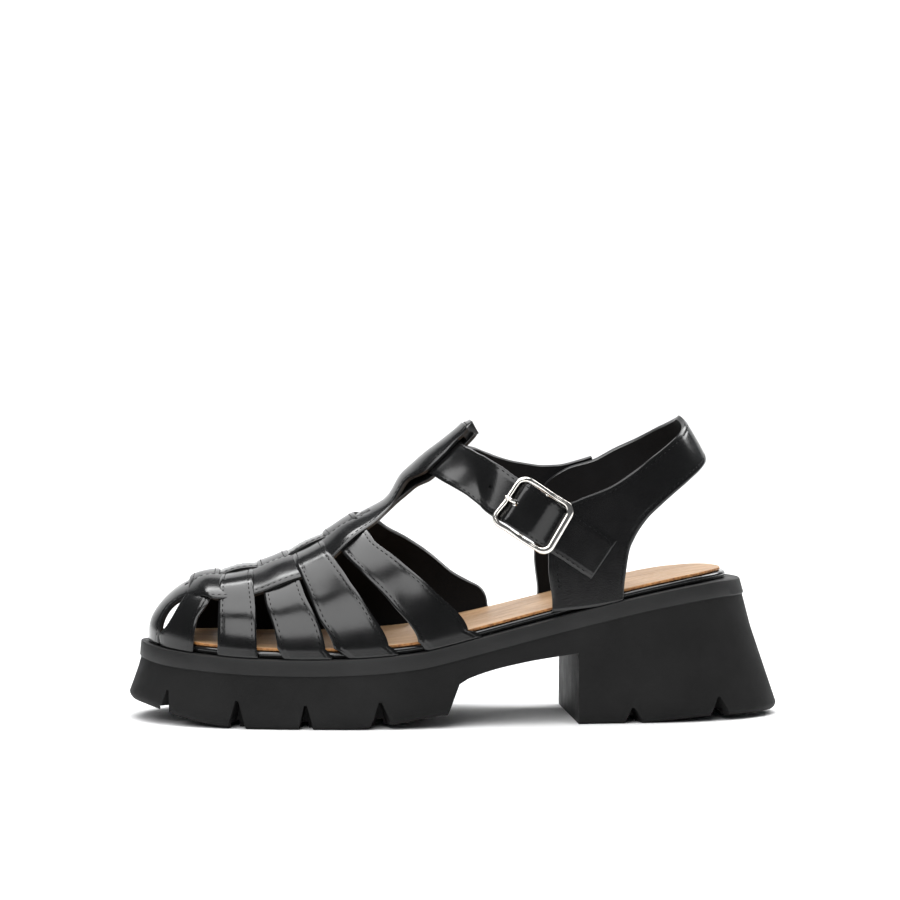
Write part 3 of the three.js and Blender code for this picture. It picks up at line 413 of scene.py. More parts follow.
grain, enter, leave, place = node_group("grain", {"Scale": 900.0, "Creases": 0.3}, "Height")
fine = noise_at(grain, place, enter.outputs["Scale"])
cells = grain.nodes.new("ShaderNodeTexVoronoi")
cells.feature = "DISTANCE_TO_EDGE"
grain.links.new(place, cells.inputs["Vector"])
grain.links.new(enter.outputs["Scale"], cells.inputs["Scale"])
pores = combined(grain, "MINIMUM", cells.outputs["Distance"], 0.25)
wide_folds = combined(grain, "MULTIPLY", noise_at(grain, place, 70.0, 2.0), enter.outputs["Creases"])
height = combined(grain, "ADD", combined(grain, "ADD", fine, pores), wide_folds)
grain.links.new(height, leave.inputs["Height"])
print("node groups:", mottle.name, grain.name)


# %% [markdown]
# ### Materials
# Every finish is the same Principled shader with other values: a dark and a light tone that wander into one
# another, a roughness that varies between two values, and a bumped grain. One flat colour would look like
# plastic. The black is kept very dark, because what is seen on gloss leather is its reflections.

# %% Materials
GRAIN_DEPTH = 0.2 * MM


def grey(value):
    return value, value, value


def shaded(name, dark, light, rough, patch=60.0, bump=None, along=1.0, **settings):
    """A Principled shader whose colour and roughness wander a little, with a bumped grain.

    rough is the lowest and highest roughness, bump the grain's scale, creases and strength."""
    material = bpy.data.materials.new(name)
    material.use_nodes = True
    nodes, links = material.node_tree.nodes, material.node_tree.links
    shader = nodes["Principled BSDF"]
    for key, value in settings.items():
        shader.inputs[key.replace("_", " ").title().replace("Ior", "IOR")].default_value = value
    tone = nodes.new("ShaderNodeGroup")
    tone.node_tree = mottle
    tone.inputs["Scale"].default_value = patch
    tone.inputs["Along"].default_value = along
    mix = nodes.new("ShaderNodeMix")
    mix.data_type = "RGBA"
    mix.inputs["A"].default_value = (*dark, 1)
    mix.inputs["B"].default_value = (*light, 1)
    links.new(tone.outputs["Value"], mix.inputs["Factor"])
    links.new(mix.outputs["Result"], shader.inputs["Base Color"])
    gloss = nodes.new("ShaderNodeGroup")
    gloss.node_tree = mottle
    gloss.inputs["Scale"].default_value = patch * 2.3
    gloss.inputs["Low"].default_value, gloss.inputs["High"].default_value = rough
    links.new(gloss.outputs["Value"], shader.inputs["Roughness"])
    if bump:
        scale, creases, strength = bump
        surface = nodes.new("ShaderNodeGroup")
        surface.node_tree = grain
        surface.inputs["Scale"].default_value = scale
        surface.inputs["Creases"].default_value = creases
        relief = nodes.new("ShaderNodeBump")
        relief.inputs["Strength"].default_value = strength
        relief.inputs["Distance"].default_value = GRAIN_DEPTH
        links.new(surface.outputs["Height"], relief.inputs["Height"])
        links.new(relief.outputs["Normal"], shader.inputs["Normal"])
    return material


gloss_leather = shaded("gloss_black_leather", grey(0.003), grey(0.005), (0.16, 0.22),
                       bump=(1100.0, 0.6, 0.08), specular_ior_level=0.42,
                       coat_weight=0.1, coat_roughness=0.1)
lining = shaded("leather_lining", (0.003, 0.003, 0.0034), (0.005, 0.005, 0.0055), (0.6, 0.72),
                bump=(1500.0, 0.3, 0.35), specular_ior_level=0.12)
cut_edge = shaded("painted_cut_edge", grey(0.006), grey(0.012), (0.32, 0.45),
                  bump=(1800.0, 0.2, 0.25))
thread = shaded("black_thread", grey(0.002), grey(0.004), (0.5, 0.65), patch=400.0, specular_ior_level=0.12)
rubber = shaded("moulded_rubber", grey(0.007), grey(0.011), (0.55, 0.7), patch=35.0,
                bump=(2200.0, 1.2, 0.3), specular_ior_level=0.14)
# The top band is the same rubber with a smoother finish, so it is less rough and more specular. Its lighter
# colour is painted light, standing for the light that falls on the band, which faces further up.
band_rubber_painted_lighter = shaded("rubber_top_band_painted_lighter", grey(0.012), grey(0.017), (0.45, 0.58), patch=35.0,
                     bump=(2200.0, 0.8, 0.25), specular_ior_level=0.24)
rand_leather = shaded("gloss_rand", grey(0.006), grey(0.009), (0.12, 0.18),
                      bump=(1100.0, 0.5, 0.06), coat_weight=0.5, coat_roughness=0.06)
tan_leather = shaded("tan_insole_leather", (0.30, 0.168, 0.078), (0.47, 0.30, 0.168), (0.4, 0.52),
                     patch=240.0, bump=(1300.0, 0.6, 0.2), along=0.09)
cork_edge = shaded("cork_brown_edge", (0.16, 0.055, 0.012), (0.50, 0.23, 0.07), (0.6, 0.75), patch=700.0,
                   bump=(1500.0, 0.2, 0.5))
steel = shaded("polished_steel", (0.74, 0.71, 0.66), (0.82, 0.79, 0.74), (0.1, 0.18), patch=120.0,
               bump=(2500.0, 0.1, 0.03), metallic=1.0)
white_sweep = shaded("white_sweep", grey(0.86), grey(0.88), (0.8, 0.85), patch=2.0)
print(len(bpy.data.materials), "materials")


# %% [markdown]
# ## Floor and lights
# The studio floor is one white sweep that rises behind the shoe in a quarter round, so no line shows where
# floor and wall meet. Gloss black leather shows only what it mirrors. Small lights would give it hard dots,
# so the lights are large soft boxes with dark room between them, and each strap gets a soft grey area that
# fades to black.

# %% Floor and lights
SWEEP_WIDTH, FLOOR_RUN, BEND_RUN, WALL_RUN = 5200, 2600, 1200, 1400
SWEEP_FRONT, BEND_RADIUS = -470, 760


def sweep_profile(u, v):
    """Floor, then a quarter round, then the wall behind."""
    run = v * (FLOOR_RUN + BEND_RUN + WALL_RUN)
    bend = np.clip((run - FLOOR_RUN) / BEND_RUN, 0, 1) * math.pi / 2
    y = SWEEP_FRONT + np.minimum(run, FLOOR_RUN) + BEND_RADIUS * np.sin(bend)
    z = BEND_RADIUS * (1 - np.cos(bend)) + np.clip(run - FLOOR_RUN - BEND_RUN, 0, None)
    return np.stack([(u - 0.5) * SWEEP_WIDTH, y, z], axis=1)


floor = cut_sheet("floor", 2, 104, sweep_profile)
floor.data.materials.append(white_sweep)
smooth(floor)


def soft_box(place, aim, size, power):
    bpy.ops.object.light_add(type="AREA", location=place)
    light = bpy.context.object
    light.rotation_euler = (Vector(aim) - Vector(place)).to_track_quat("-Z", "Y").to_euler()
    light.data.shape = "RECTANGLE"
    light.data.size, light.data.size_y = size
    light.data.energy = power


# Overhead, before the shoe, behind its heel and on the backdrop: place, aim, size in metres and watts
SOFT_BOXES = [
    ((-0.1, -0.1, 1.5), (0, 0.1, 0), (1.7, 1.3), 34),
    ((-0.55, -1.15, 0.95), (-0.05, 0, 0.06), (1.3, 0.85), 14),
    ((0.9, 0.5, 0.8), (0.05, 0, 0.06), (0.6, 0.6), 7),
    ((0, 1.1, 2.2), (0, 2.6, 0.5), (2.6, 0.8), 60),
]
for place, aim, size, power in SOFT_BOXES:
    soft_box(place, aim, size, power)
world = bpy.data.worlds.new("studio")
bpy.context.scene.world = world
world.use_nodes = True
world.node_tree.nodes["Background"].inputs["Color"].default_value = (0.9, 0.94, 1.0, 1)
world.node_tree.nodes["Background"].inputs["Strength"].default_value = 0.14
print(len(SOFT_BOXES), "soft boxes over a sweep of", len(floor.data.polygons), "faces")


# %% [markdown]
# ## Sole
# The real unit is moulded in one piece. In section it goes from the flat tread round a corner, up a wall
# that flares outwards, over a small step to the top band, and in over the ledge. It could be extruded from
# its plan, but the flare and the rise to the heel change along the shoe. So a flat sheet whose rows are
# those lines is wrapped round the outline and welded, which keeps each line crisp.

# %% Wrapped solids
STATIONS = 150


def wrapped_solid(name, lines, cap=6, crown=None, rows=None):
    """lines are (toe, side, heel, height) from lowest to highest, each wrapped round the outline.

    cap is the count of strips across top and bottom, crown(share, turn) the rise of the top."""
    count = len(lines)
    loop = 2 * (count - 1) + 2 * cap

    def wrap(u, v):
        k = np.rint(v * loop).astype(int) % loop
        turn = (1 - np.cos(math.pi * u)) / 2
        points = np.empty((len(u), 3))
        sides = [np.array([line_point(line, turn, sign) for line in lines]) for sign in (-1, 1)]
        for step in range(loop):
            here = k == step
            if step < count:
                p = sides[0][step][here]
            elif step < count - 1 + cap:
                s = (step - count + 1) / cap
                a, b = sides[0][-1][here], sides[1][-1][here]
                p = a + (b - a) * s
                if crown:
                    p[:, 2] += crown(s, turn[here])
            elif step < 2 * count - 1 + cap:
                p = sides[1][2 * count - 2 + cap - step][here]
            else:
                s = (step - 2 * count + 2 - cap) / cap
                a, b = sides[1][0][here], sides[0][0][here]
                p = a + (b - a) * s
            points[here] = p
        return points

    faces = None
    if rows:
        side_rows = [rows[min(i, len(rows) - 1)] for i in range(count - 1)]
        top = [rows[-1]] * cap
        faces = side_rows + top + side_rows[::-1] + [rows[0]] * cap
    piece = cut_sheet(name, STATIONS, loop, wrap, faces)
    edit_all(piece, weld, face_out)
    return piece


def line_point(line, turn, sign):
    toe, side, heel, height = line
    first, last = FOOTBED_TIP - toe, FOOTBED_BACK + heel
    x = first + (last - first) * turn
    if callable(side):
        side = side(share_at(x))
    centre, half, close = outline(x, toe, side, heel)
    return np.stack([x, centre + sign * half * close, height(x)], axis=1)


# %% [markdown]
# ### Lines of the sole
# Each line is given by how far it stands out at toe, side and heel, and by its height. The lines start at
# the tread and end on the ledge, and the rows above the step take the top band's rubber, whose lighter
# colour is painted light falling on the band.

# %% Lines of the sole
def flare_line(share, inset, height):
    """A line that stands out by a share of the full flare, drawn in by inset."""
    def side(along):
        fore = SIDE_LEDGE + BALL_FLARE * share - inset
        rear = SIDE_LEDGE + HEEL_SIDE_FLARE * share - inset
        return follow({"along": [0.45, 0.72], "side": [0, 1]}, "side", along) * (rear - fore) + fore

    return TOE_LEDGE + TOE_FLARE * share - inset, side, HEEL_LEDGE + HEEL_FLARE * share - inset, height


def band_foot(x):
    return ledge_height(x) - BAND_HEIGHT


band_share = BAND_HEIGHT / HEEL_HEIGHT
sole_lines = []
for corner in (90, 68, 45, 22, 0):
    inset = TREAD_CORNER * (1 - math.cos(math.radians(corner))) * 0.75
    rise = TREAD_CORNER * (1 - math.sin(math.radians(corner)))
    sole_lines.append(flare_line(1, inset, lambda x, rise=rise: tread_height(x) + rise))
for part in (0.2, 0.45, 0.7, 0.97):
    share = np.interp(part, [0, 0.7, 1], [1, 3 * band_share, band_share])

    def wall(x, part=part):
        low = tread_height(x) + TREAD_CORNER
        return low + (band_foot(x) - BAND_STEP - low) * part

    sole_lines.append(flare_line(float(share), BAND_STEP * part, wall))
sole_lines += [
    flare_line(band_share, BAND_STEP, lambda x: band_foot(x) - BAND_STEP),
    flare_line(band_share, 0.15, lambda x: band_foot(x) - 0.15),
    flare_line(band_share, 0, lambda x: band_foot(x) + 0.25),
    flare_line(0.1 * band_share, 0, lambda x: ledge_height(x) - 0.7),
    flare_line(0, 0.15, lambda x: ledge_height(x) - 0.2),
    flare_line(0, 0.6, ledge_height),
]
band_from = len(sole_lines) - 5
# The band's rows take the second rubber, whose lighter colour is painted light.
sole_rows = [0] * band_from + [1] * 4
print(len(sole_lines), "lines round the sole")
outsole = wrapped_solid("outsole_unit", sole_lines, rows=sole_rows)
smooth(outsole, 30)

# %% [markdown]
# ### Arch, notches and grooves
# On the real sole the mould forms these. Each cutter here is a primitive whose corners are moved to the
# cut's own corners, then taken away with a Boolean, which leaves the rest of the wall as it was. A bevel
# then breaks the new edges, as far as the shortest of them let it.

# %% Cut the sole
NOTCHES = {
    "along": [0.0186, 0.138, 0.2545, 0.381, 0.818, 0.971],
    "wide": [1.0, 1.45, 1.2, 1.7, 1.6, 1.9],
    "high": [0.9, 1.13, 1.0, 1.0, 0.64, 0.8],
}
NOTCH_WIDTH, NOTCH_HEIGHT, NOTCH_DEPTH, NOTCH_TIP = 7.4, 12, 9, 1.6
NOTCH_INNER_SHARE = 0.55
GROOVE_WIDTH, GROOVE_DEPTH = 5, 2.5
UNDER_FLOOR, BROKEN_EDGE = -3, 0.7
ARCH_FRONT = 0.496
ARCH = {
    "along": [0.517, 0.535, 0.58, 0.63, 0.69, 0.724],
    "thick": [1.0, 0.915, 0.87, 0.9, 0.98, 1.03],
}


def prism(name, profile):
    """A profile in length and height, extruded across the sole's whole width."""
    deselect()
    bpy.ops.mesh.primitive_circle_add(vertices=len(profile), fill_type="NGON")
    cutter = bpy.context.object
    cutter.name = name
    reach = BALL_WIDTH * 0.75
    placed = np.array([(x, -reach, z) for x, z in profile]) * MM
    cutter.data.vertices.foreach_set("co", placed.ravel())
    span = (0, 2 * reach * MM, 0)
    edit_all(cutter, lambda: bpy.ops.mesh.extrude_region_move(TRANSFORM_OT_translate={"value": span}),
             lambda: bpy.ops.mesh.select_all(action="SELECT"), face_out)
    return cutter


def wedge(x, wide, high, side):
    """A blind wedge square to the sole's edge, wide at the floor and narrow at its tip."""
    def edge(at):
        at = np.array([at], float)
        toe, grow, heel, _ = flare_line(1, 0, None)
        centre, half, close = outline(at, toe, grow(share_at(at)), heel)
        return np.array([at[0], (centre + side * half * close)[0], 0.0])

    here, along = edge(x), edge(x + 1) - edge(x - 1)
    along /= np.linalg.norm(along)
    out = np.array([-side * along[1], side * along[0], 0])
    base, height = float(tread_height(x)), NOTCH_HEIGHT * high
    half, tip, below = NOTCH_WIDTH * wide / 2, NOTCH_TIP / 2, float(tread_height(x)) + TREAD_CORNER
    foot = half + (half - tip) * below / height
    deselect()
    bpy.ops.mesh.primitive_cube_add(size=2)
    cutter = bpy.context.object
    placed = []
    for vertex in cutter.data.vertices:
        way, deep, top = vertex.co
        narrow = 1 if deep > 0 else NOTCH_INNER_SHARE
        run = (tip if top > 0 else foot) * narrow * (1 if way > 0 else -1)
        z = base + height * narrow**0.5 if top > 0 else base - below
        p = here + along * run + out * (NOTCH_DEPTH if deep > 0 else -NOTCH_DEPTH)
        placed.append((p[0], p[1], z))
    cutter.data.vertices.foreach_set("co", (np.array(placed) * MM).ravel())
    edit_all(cutter, face_out)
    return cutter


def cut_away(piece, cutter):
    modified(piece, "BOOLEAN", operation="DIFFERENCE", object=cutter, solver="EXACT")
    bpy.data.objects.remove(cutter)


front, breast = place_at(ARCH_FRONT), place_at(ARCH["along"][-1])
arch_line = [(front, UNDER_FLOOR), (front, float(tread_height(front)))]
for along in np.linspace(ARCH["along"][0], ARCH["along"][-1], 15):
    x = place_at(along)
    arch_line.append((x, float(ledge_height(x) - WAIST_THICKNESS * follow(ARCH, "thick", along))))
arch_line.append((breast, UNDER_FLOOR))
cut_away(outsole, prism("arch", arch_line))
for along, wide, high in zip(NOTCHES["along"], NOTCHES["wide"], NOTCHES["high"]):
    x = place_at(along)
    for side in (-1, 1):
        cut_away(outsole, wedge(x, wide, high, side))
    top, half = float(tread_height(x)) + GROOVE_DEPTH, GROOVE_WIDTH / 2
    front_side = [(x - half, UNDER_FLOOR), (x - 0.7 * half, top)]
    rear_side = [(x + 0.7 * half, top), (x + half, UNDER_FLOOR)]
    cut_away(outsole, prism("groove", front_side + rear_side))
modified(outsole, "BEVEL", width=BROKEN_EDGE * MM, segments=2, limit_method="ANGLE",
         angle_limit=math.radians(48), use_clamp_overlap=True)
smooth(outsole, 30)
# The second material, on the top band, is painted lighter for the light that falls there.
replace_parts(finished(outsole, "sole_rubber", rubber, band_rubber_painted_lighter), "outsole")


# %% [markdown]
# ## Footbed and insole
# The footbed is a board wrapped in the same gloss leather, so its edge is a soft black roll that catches
# the light in one line. The insole on it is thin tan leather on cork, pressed a little hollow under heel
# and ball. Both could be extruded from the outline and bevelled. Wrapped lines, as for the sole, follow its
# rise and keep the roll even.

# %% Footbed and insole
FOOTBED_ROLL, INSOLE_ROLL = 1.2, 0.35
INSOLE_BACK = 1.6
PRESS_DEPTH = 0.5


def plate_lines(base, thickness, inset, corner, back=0):
    """Lines round a plate whose edges are rolled by corner, drawn in by inset, and at the back by more."""
    lines = []
    for turn, low in ((90, True), (45, True), (0, True), (0, False), (30, False), (60, False), (90, False)):
        pull = corner * (1 - math.cos(math.radians(turn)))
        rise = corner * (1 - math.sin(math.radians(turn)))
        up = rise if low else thickness - rise
        grow = -inset - pull
        lines.append((grow, grow, grow - back, lambda x, up=up: base(x) + up))
    return lines


def footbed_base(x):
    return ledge_height(x) + GAP


def insole_base(x):
    return footbed_base(x) + FOOTBED_THICKNESS + GAP


def pressed(s, turn):
    """How far the foot has pressed the insole: deepest in the middle of ball and heel."""
    across = 4 * s * (1 - s)
    ball = np.exp(-(((turn - 0.3) / 0.12) ** 2))
    heel = np.exp(-(((turn - 0.87) / 0.08) ** 2))
    return -PRESS_DEPTH * across * (ball + heel)


footbed_lines = plate_lines(footbed_base, FOOTBED_THICKNESS, 0, FOOTBED_ROLL)
footbed = wrapped_solid("footbed_rand", footbed_lines)
smooth(footbed)
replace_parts(finished(footbed, "black_leather", rand_leather), "footbed")
insole_lines = plate_lines(insole_base, INSOLE_THICKNESS, INSOLE_INSET, INSOLE_ROLL, INSOLE_BACK)
insole_rows = [1, 1, 1, 1, 0, 0, 0]
insole = wrapped_solid("insole_sock", insole_lines, cap=16, crown=pressed, rows=insole_rows)
smooth(insole)
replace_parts(finished(insole, "tan_leather", tan_leather, cork_edge), "insole")


# %% [markdown]
# ## Straps
# A real strap is cut flat, skived thin at its edges, lined, and sewn along both edges. Here the flat grid
# is laid on the last, its edges droop where the leather is skived, and a shallow furrow follows the seam.
# Solidify gives the wall, whose inner face is the lining, and Bevel rounds the rim. The stitches could be a
# bump pattern, but real thread stands out of its furrow, so each stitch is one small stretched ball.

# %% Strap making
EDGE_DROOP, DROOP_REACH = 0.4, 0.6
SEAM_DENT, SEAM_REACH = 0.16, 0.45
STITCH_LENGTH, STITCH_PITCH, STITCH_WIDTH, STITCH_RISE = 1.8, 2.7, 0.5, 0.06


def relief(edge, inset):
    """Height over the strap's plain skin, by the way from its nearest edge in millimetres."""
    droop = EDGE_DROOP * np.exp(-((edge / DROOP_REACH) ** 2))
    dent = SEAM_DENT * np.exp(-(((edge - inset) / SEAM_REACH) ** 2)) if inset else 0
    return -droop - dent


def strap(name, skin, along, across, wall, inset=2.2, rim=0.3):
    """skin(u, v, out) is the strap's inner face, raised by out."""
    def wrap(u, v):
        width = np.linalg.norm(skin(u, np.ones_like(u), 0) - skin(u, np.zeros_like(u), 0), axis=1)
        edge = np.minimum(v, 1 - v) * width
        return skin(u, v, wall + relief(edge, inset))

    piece = cut_sheet(name, along, across, wrap)
    # The faces have to point away from the last, so that Solidify grows the wall inwards
    middle = np.array([0.5])
    way = skin(middle, middle, 1.0) - skin(middle, middle, 0.0)
    at = skin(middle, middle, wall)[0] * MM
    nearest = min(piece.data.polygons, key=lambda face: (face.center - Vector(at)).length)
    if nearest.normal.dot(Vector(way[0])) < 0:
        edit_all(piece, bpy.ops.mesh.flip_normals)
    for material in (gloss_leather, lining, cut_edge):
        piece.data.materials.append(material)
    modified(piece, "SOLIDIFY", thickness=wall * MM, offset=-1, use_even_offset=True,
             material_offset=1, material_offset_rim=2)
    modified(piece, "BEVEL", width=rim * MM, segments=2, limit_method="ANGLE", angle_limit=math.radians(50))
    smooth(piece, 45)
    return piece


deselect()
bpy.ops.mesh.primitive_ico_sphere_add(subdivisions=1, radius=1)
stitch = bpy.context.object
stitch_points = points_of(stitch.data) * (STITCH_LENGTH / 2, STITCH_WIDTH / 2, STITCH_WIDTH / 2.4)
stitch_faces = np.array([tuple(face.vertices) for face in stitch.data.polygons])
bpy.data.objects.remove(stitch)


def sewn(piece, skin, wall, rows, sink=SEAM_DENT):
    """Stitches along rows of (u, v) paths given as functions of a share from 0 to 1, joined to the piece."""
    points, faces = [], []
    for path in rows:
        t = np.linspace(0, 1, 400)
        u, v = path(t)
        line = skin(u, v, wall - sink + STITCH_RISE)
        out = unit(skin(u, v, wall + 1.0) - skin(u, v, wall))
        length = np.concatenate([[0], np.cumsum(np.linalg.norm(np.diff(line, axis=0), axis=1))])
        for at in np.arange(STITCH_PITCH / 2, length[-1] - STITCH_LENGTH / 2, STITCH_PITCH):
            here = np.array([np.interp(at, length, line[:, k]) for k in range(3)])
            ahead = np.array([np.interp(at + 0.6, length, line[:, k]) for k in range(3)])
            up = np.array([np.interp(at, length, out[:, k]) for k in range(3)])
            along = (ahead - here) / np.linalg.norm(ahead - here)
            beside = np.cross(up, along)
            beside /= np.linalg.norm(beside)
            turned_points = stitch_points @ np.array([along, beside, np.cross(along, beside)])
            faces.append(stitch_faces + len(points) * len(stitch_points))
            points.append(here + turned_points)
    mesh = bpy.data.meshes.new(piece.name + "_stitches")
    mesh.from_pydata((np.concatenate(points) * MM).tolist(), [], np.concatenate(faces).tolist())
    mesh.materials.append(thread)
    for face in mesh.polygons:
        face.use_smooth = True
    seams = bpy.data.objects.new(mesh.name, mesh)
    bpy.context.scene.collection.objects.link(seams)
    select(piece, seams)
    bpy.ops.object.join()
    return piece


def edge_rows(skin, inset, start=0.02, end=0.98):
    """The two seams that follow a strap's edges at a fixed way in."""
    def row(near):
        def path(t):
            u = start + (end - start) * t
            width = np.linalg.norm(skin(u, np.ones_like(u), 0) - skin(u, np.zeros_like(u), 0), axis=1)
            share = np.minimum(inset / width, 0.5)
            return u, share if near else 1 - share
        return path
    return [row(True), row(False)]


def sewn_strap(name, skin, along, across, wall, inset=2.2, start=0.02, end=0.98):
    piece = strap(name, skin, along, across, wall, inset)
    sewn(piece, skin, wall, edge_rows(skin, inset, start, end))
    return finished(piece, "black_leather")


# %% [markdown]
# ### Cross straps
# Five straps go from ledge to ledge. Each table gives a strap's front and rear edge at places round the
# last: side 0 is the ridge, 1 and -1 the insole's edges, and 2 and -2 the ledge. Where a strap goes over a
# finger of the lengthwise band it is lifted by one layer. Over and under alternate, as in a basket.

# %% Cross straps
SEAT = 2 - GAP / STACK
CROSS_STRAPS = {
    "toe": {
        "side": [-2, -1, -0.8, -0.6, -0.3, 0, 0.3, 0.6, 1, 2],
        "front": [0.016, 0.014, 0.028, 0.042, 0.06, 0.068, 0.07, 0.064, 0.056, 0.056],
        "rear": [0.07, 0.071, 0.076, 0.094, 0.11, 0.116, 0.118, 0.119, 0.12, 0.122],
    },
    "second": {
        "side": [-2, -0.8, -0.4, 0, 0.4, 0.8, 2],
        "front": [0.11, 0.111, 0.114, 0.122, 0.13, 0.152, 0.168],
        "rear": [0.178, 0.175, 0.172, 0.176, 0.188, 0.222, 0.242],
    },
    "third": {
        "side": [-2, -1, -0.6, 0, 0.6, 1, 2],
        "front": [0.22, 0.21, 0.19, 0.182, 0.212, 0.262, 0.276],
        "rear": [0.304, 0.29, 0.256, 0.236, 0.28, 0.342, 0.358],
    },
    "fourth": {
        "side": [-2, -1, -0.8, -0.6, -0.3, 0, 0.3, 0.6, 0.8, 1, 2],
        "front": [0.33, 0.304, 0.278, 0.262, 0.246, 0.242, 0.25, 0.288, 0.33, 0.372, 0.398],
        "rear": [0.416, 0.396, 0.362, 0.33, 0.301, 0.294, 0.306, 0.358, 0.41, 0.458, 0.486],
    },
    "fifth": {
        "side": [-2, -1, -0.8, -0.6, -0.4, 0, 0.4, 0.6, 0.8, 1, 2],
        "front": [0.46, 0.446, 0.402, 0.354, 0.324, 0.3, 0.328, 0.374, 0.43, 0.49, 0.506],
        "rear": [0.56, 0.532, 0.476, 0.42, 0.376, 0.354, 0.406, 0.457, 0.522, 0.594, 0.608],
    },
}
OVER_MIDDLE = ("toe", "third", "fifth")


ON_LAST = 0.94


def side_of(u):
    """Most of the strap's length lies on the last, and a short way at each end beside the footbed."""
    s = 2 * u - 1
    reach = np.abs(s) / ON_LAST
    return np.sign(s) * np.where(reach < 1, reach, 1 + (reach - 1) / (1 / ON_LAST - 1) * (SEAT - 1))


def cross_skin(rows, over_middle):
    """A strap's skin: u goes round the last from outer to inner ledge, v from front to rear edge."""
    middle, beside = (LAYER, 0) if over_middle else (0, LAYER)
    crossings = [(-0.66, 0), (-0.36, beside), (0, middle), (0.36, beside), (0.66, 0)]

    def skin(u, v, out):
        side = side_of(u)
        front = place_at(follow(rows, "front", side, "side"))
        rear = place_at(follow(rows, "rear", side, "side"))
        return lifted(skin_point(front + (rear - front) * v, side), weave(crossings, side) + out)
    return skin


straps = []
for name, rows in CROSS_STRAPS.items():
    skin = cross_skin(rows, name in OVER_MIDDLE)
    strap_piece = sewn_strap(name + "_strap", skin, 168, 22, STRAP_WALL, inset=2.0, start=0.035, end=0.965)
    straps.append(strap_piece)


# %% [markdown]
# ### Ridge of the last
# From the toe one band runs back along the ridge. It is slit into three fingers where it is woven, and is
# whole again as the T-bar. A flat strip pressed down from above would stretch on the steep sides, so a point
# beside the ridge is cast from inside the last, turned by its way across.

# %% Ridge of the last
BAND = {
    "along": [0.0, 0.02, 0.044, 0.068, 0.108, 0.184, 0.236, 0.316,
              0.372, 0.404, 0.425, 0.444, 0.47, 0.504, 0.532, 0.56],
    "spread": [0.2, 0.19, 0.215, 0.27, 0.335, 0.345, 0.34, 0.295,
               0.225, 0.16, 0.127, 0.125, 0.168, 0.142, 0.112, 0.1],
}
FINGERS_START, FINGERS_END = 0.056, 0.378
SLIT_WIDTH, CAST_RADIUS = 1.6, 30
TOE_SEAT = 2 - 2 * GAP / STACK


def lengths_along(line):
    """How far each point of a line lies from its start, measured along it."""
    return np.concatenate([[0], np.cumsum(np.linalg.norm(np.diff(line, axis=0), axis=1))])


tip, end = FOOTBED_TIP - LAST_ROOM + 0.01, place_at(0.575)
down = skin_point(np.full(5, tip), TOE_SEAT - (TOE_SEAT - 1) * np.arange(5) / 5)
along_ridge = tip + (end - tip) * (np.arange(161) / 160) ** 2
ridge = np.concatenate([down, skin_point(along_ridge, np.zeros(161))])
ridge_lengths = lengths_along(ridge)
print("ridge", round(float(ridge_lengths[-1])), "mm long")


def on_line(lengths, line, length):
    return np.stack([np.interp(length, lengths, line[:, k]) for k in range(3)], axis=1)


def ridge_length(x):
    return float(np.interp(x, ridge[5:, 0], ridge_lengths[5:]))


def ridge_length_at(z):
    rising = ridge[:, 0] > place_at(0.3)
    return float(np.interp(z, ridge[rising, 2], ridge_lengths[rising]))


def beside_ridge(length, offset):
    """The skin at a length along the ridge, offset to the inner side of it."""
    here = on_line(ridge_lengths, ridge, length)
    ahead = on_line(ridge_lengths, ridge, length + 1.5)
    behind = on_line(ridge_lengths, ridge, np.maximum(length - 1.5, 0))
    across = np.array([[0.0, 1.0, 0.0]])
    up = unit(np.cross(unit(ahead - behind), across))
    up *= np.where(np.sum(up * outward(here), axis=1) < 0, -1, 1)[:, None]
    angle = (offset / CAST_RADIUS)[:, None]
    way = up * np.cos(angle) + across * np.sin(angle)
    return cast_from(here - up * CAST_RADIUS, way)


def spread_at(length):
    x = on_line(ridge_lengths, ridge, length)[:, 0]
    return BALL_WIDTH * follow(BAND, "spread", share_at(x))


# %% [markdown]
# ### Toe band and fingers
# The toe band starts on the ledge in front of the toe and widens over it. The outer and inner fingers go
# over the straps that the middle one goes under. The fingers could be slit from one sheet, but as strips of
# their own each has two rolled edges and its own lift.

# %% Toe band and fingers
def band_skin(start, finish, low, high, lift):
    """A strip along the ridge between two edges, low and high, which are functions of the length."""
    def skin(u, v, out):
        length = start + (finish - start) * u
        offset = low(length) + (high(length) - low(length)) * v
        return lifted(beside_ridge(length, offset), lift(length) + out)
    return skin


toe_end = ridge_length(place_at(FINGERS_START))
bar_start = ridge_length(place_at(FINGERS_END))
crossing_places = []
for name, rows in CROSS_STRAPS.items():
    middle = rows["side"].index(0)
    share = (rows["front"][middle] + rows["rear"][middle]) / 2
    crossing_places.append((ridge_length(place_at(share)), name in OVER_MIDDLE))


def finger_lift(is_side):
    woven = [(at, LAYER if over == is_side else 0) for at, over in crossing_places]
    crossings = [(toe_end, 0)] + woven + [(bar_start, 0)]
    return lambda length: weave(crossings, length)


def across_band(share, shift=0.0):
    """A line along the band at a share of its spread, moved by shift."""
    return lambda length: share * spread_at(length) + shift


HIDDEN_LAP = 0.2
toe_band = band_skin(0, toe_end + HIDDEN_LAP, across_band(-1), across_band(1), lambda s: 0)
straps.append(sewn_strap("toe_band", toe_band, 60, 48, STRAP_WALL, inset=2.0, start=0.1, end=0.9))
half_slit = SLIT_WIDTH / 2
finger_edges = {
    "outer_finger": (across_band(-1), across_band(-1 / 3, -half_slit), True),
    "middle_finger": (across_band(-1 / 3, half_slit), across_band(1 / 3, -half_slit), False),
    "inner_finger": (across_band(1 / 3, half_slit), across_band(1), True),
}
for name, (low, high, is_side) in finger_edges.items():
    skin = band_skin(toe_end, bar_start, low, high, finger_lift(is_side))
    straps.append(sewn_strap(name, skin, 150, 18, STRAP_WALL, inset=1.8))

# %% [markdown]
# ### Round the heel
# Quarters, sling and ankle strap go round the heel, so they are placed by their height and by their turn
# about an upright axis through the heel. Places along the shoe would run out behind it, and a turn doesn't.

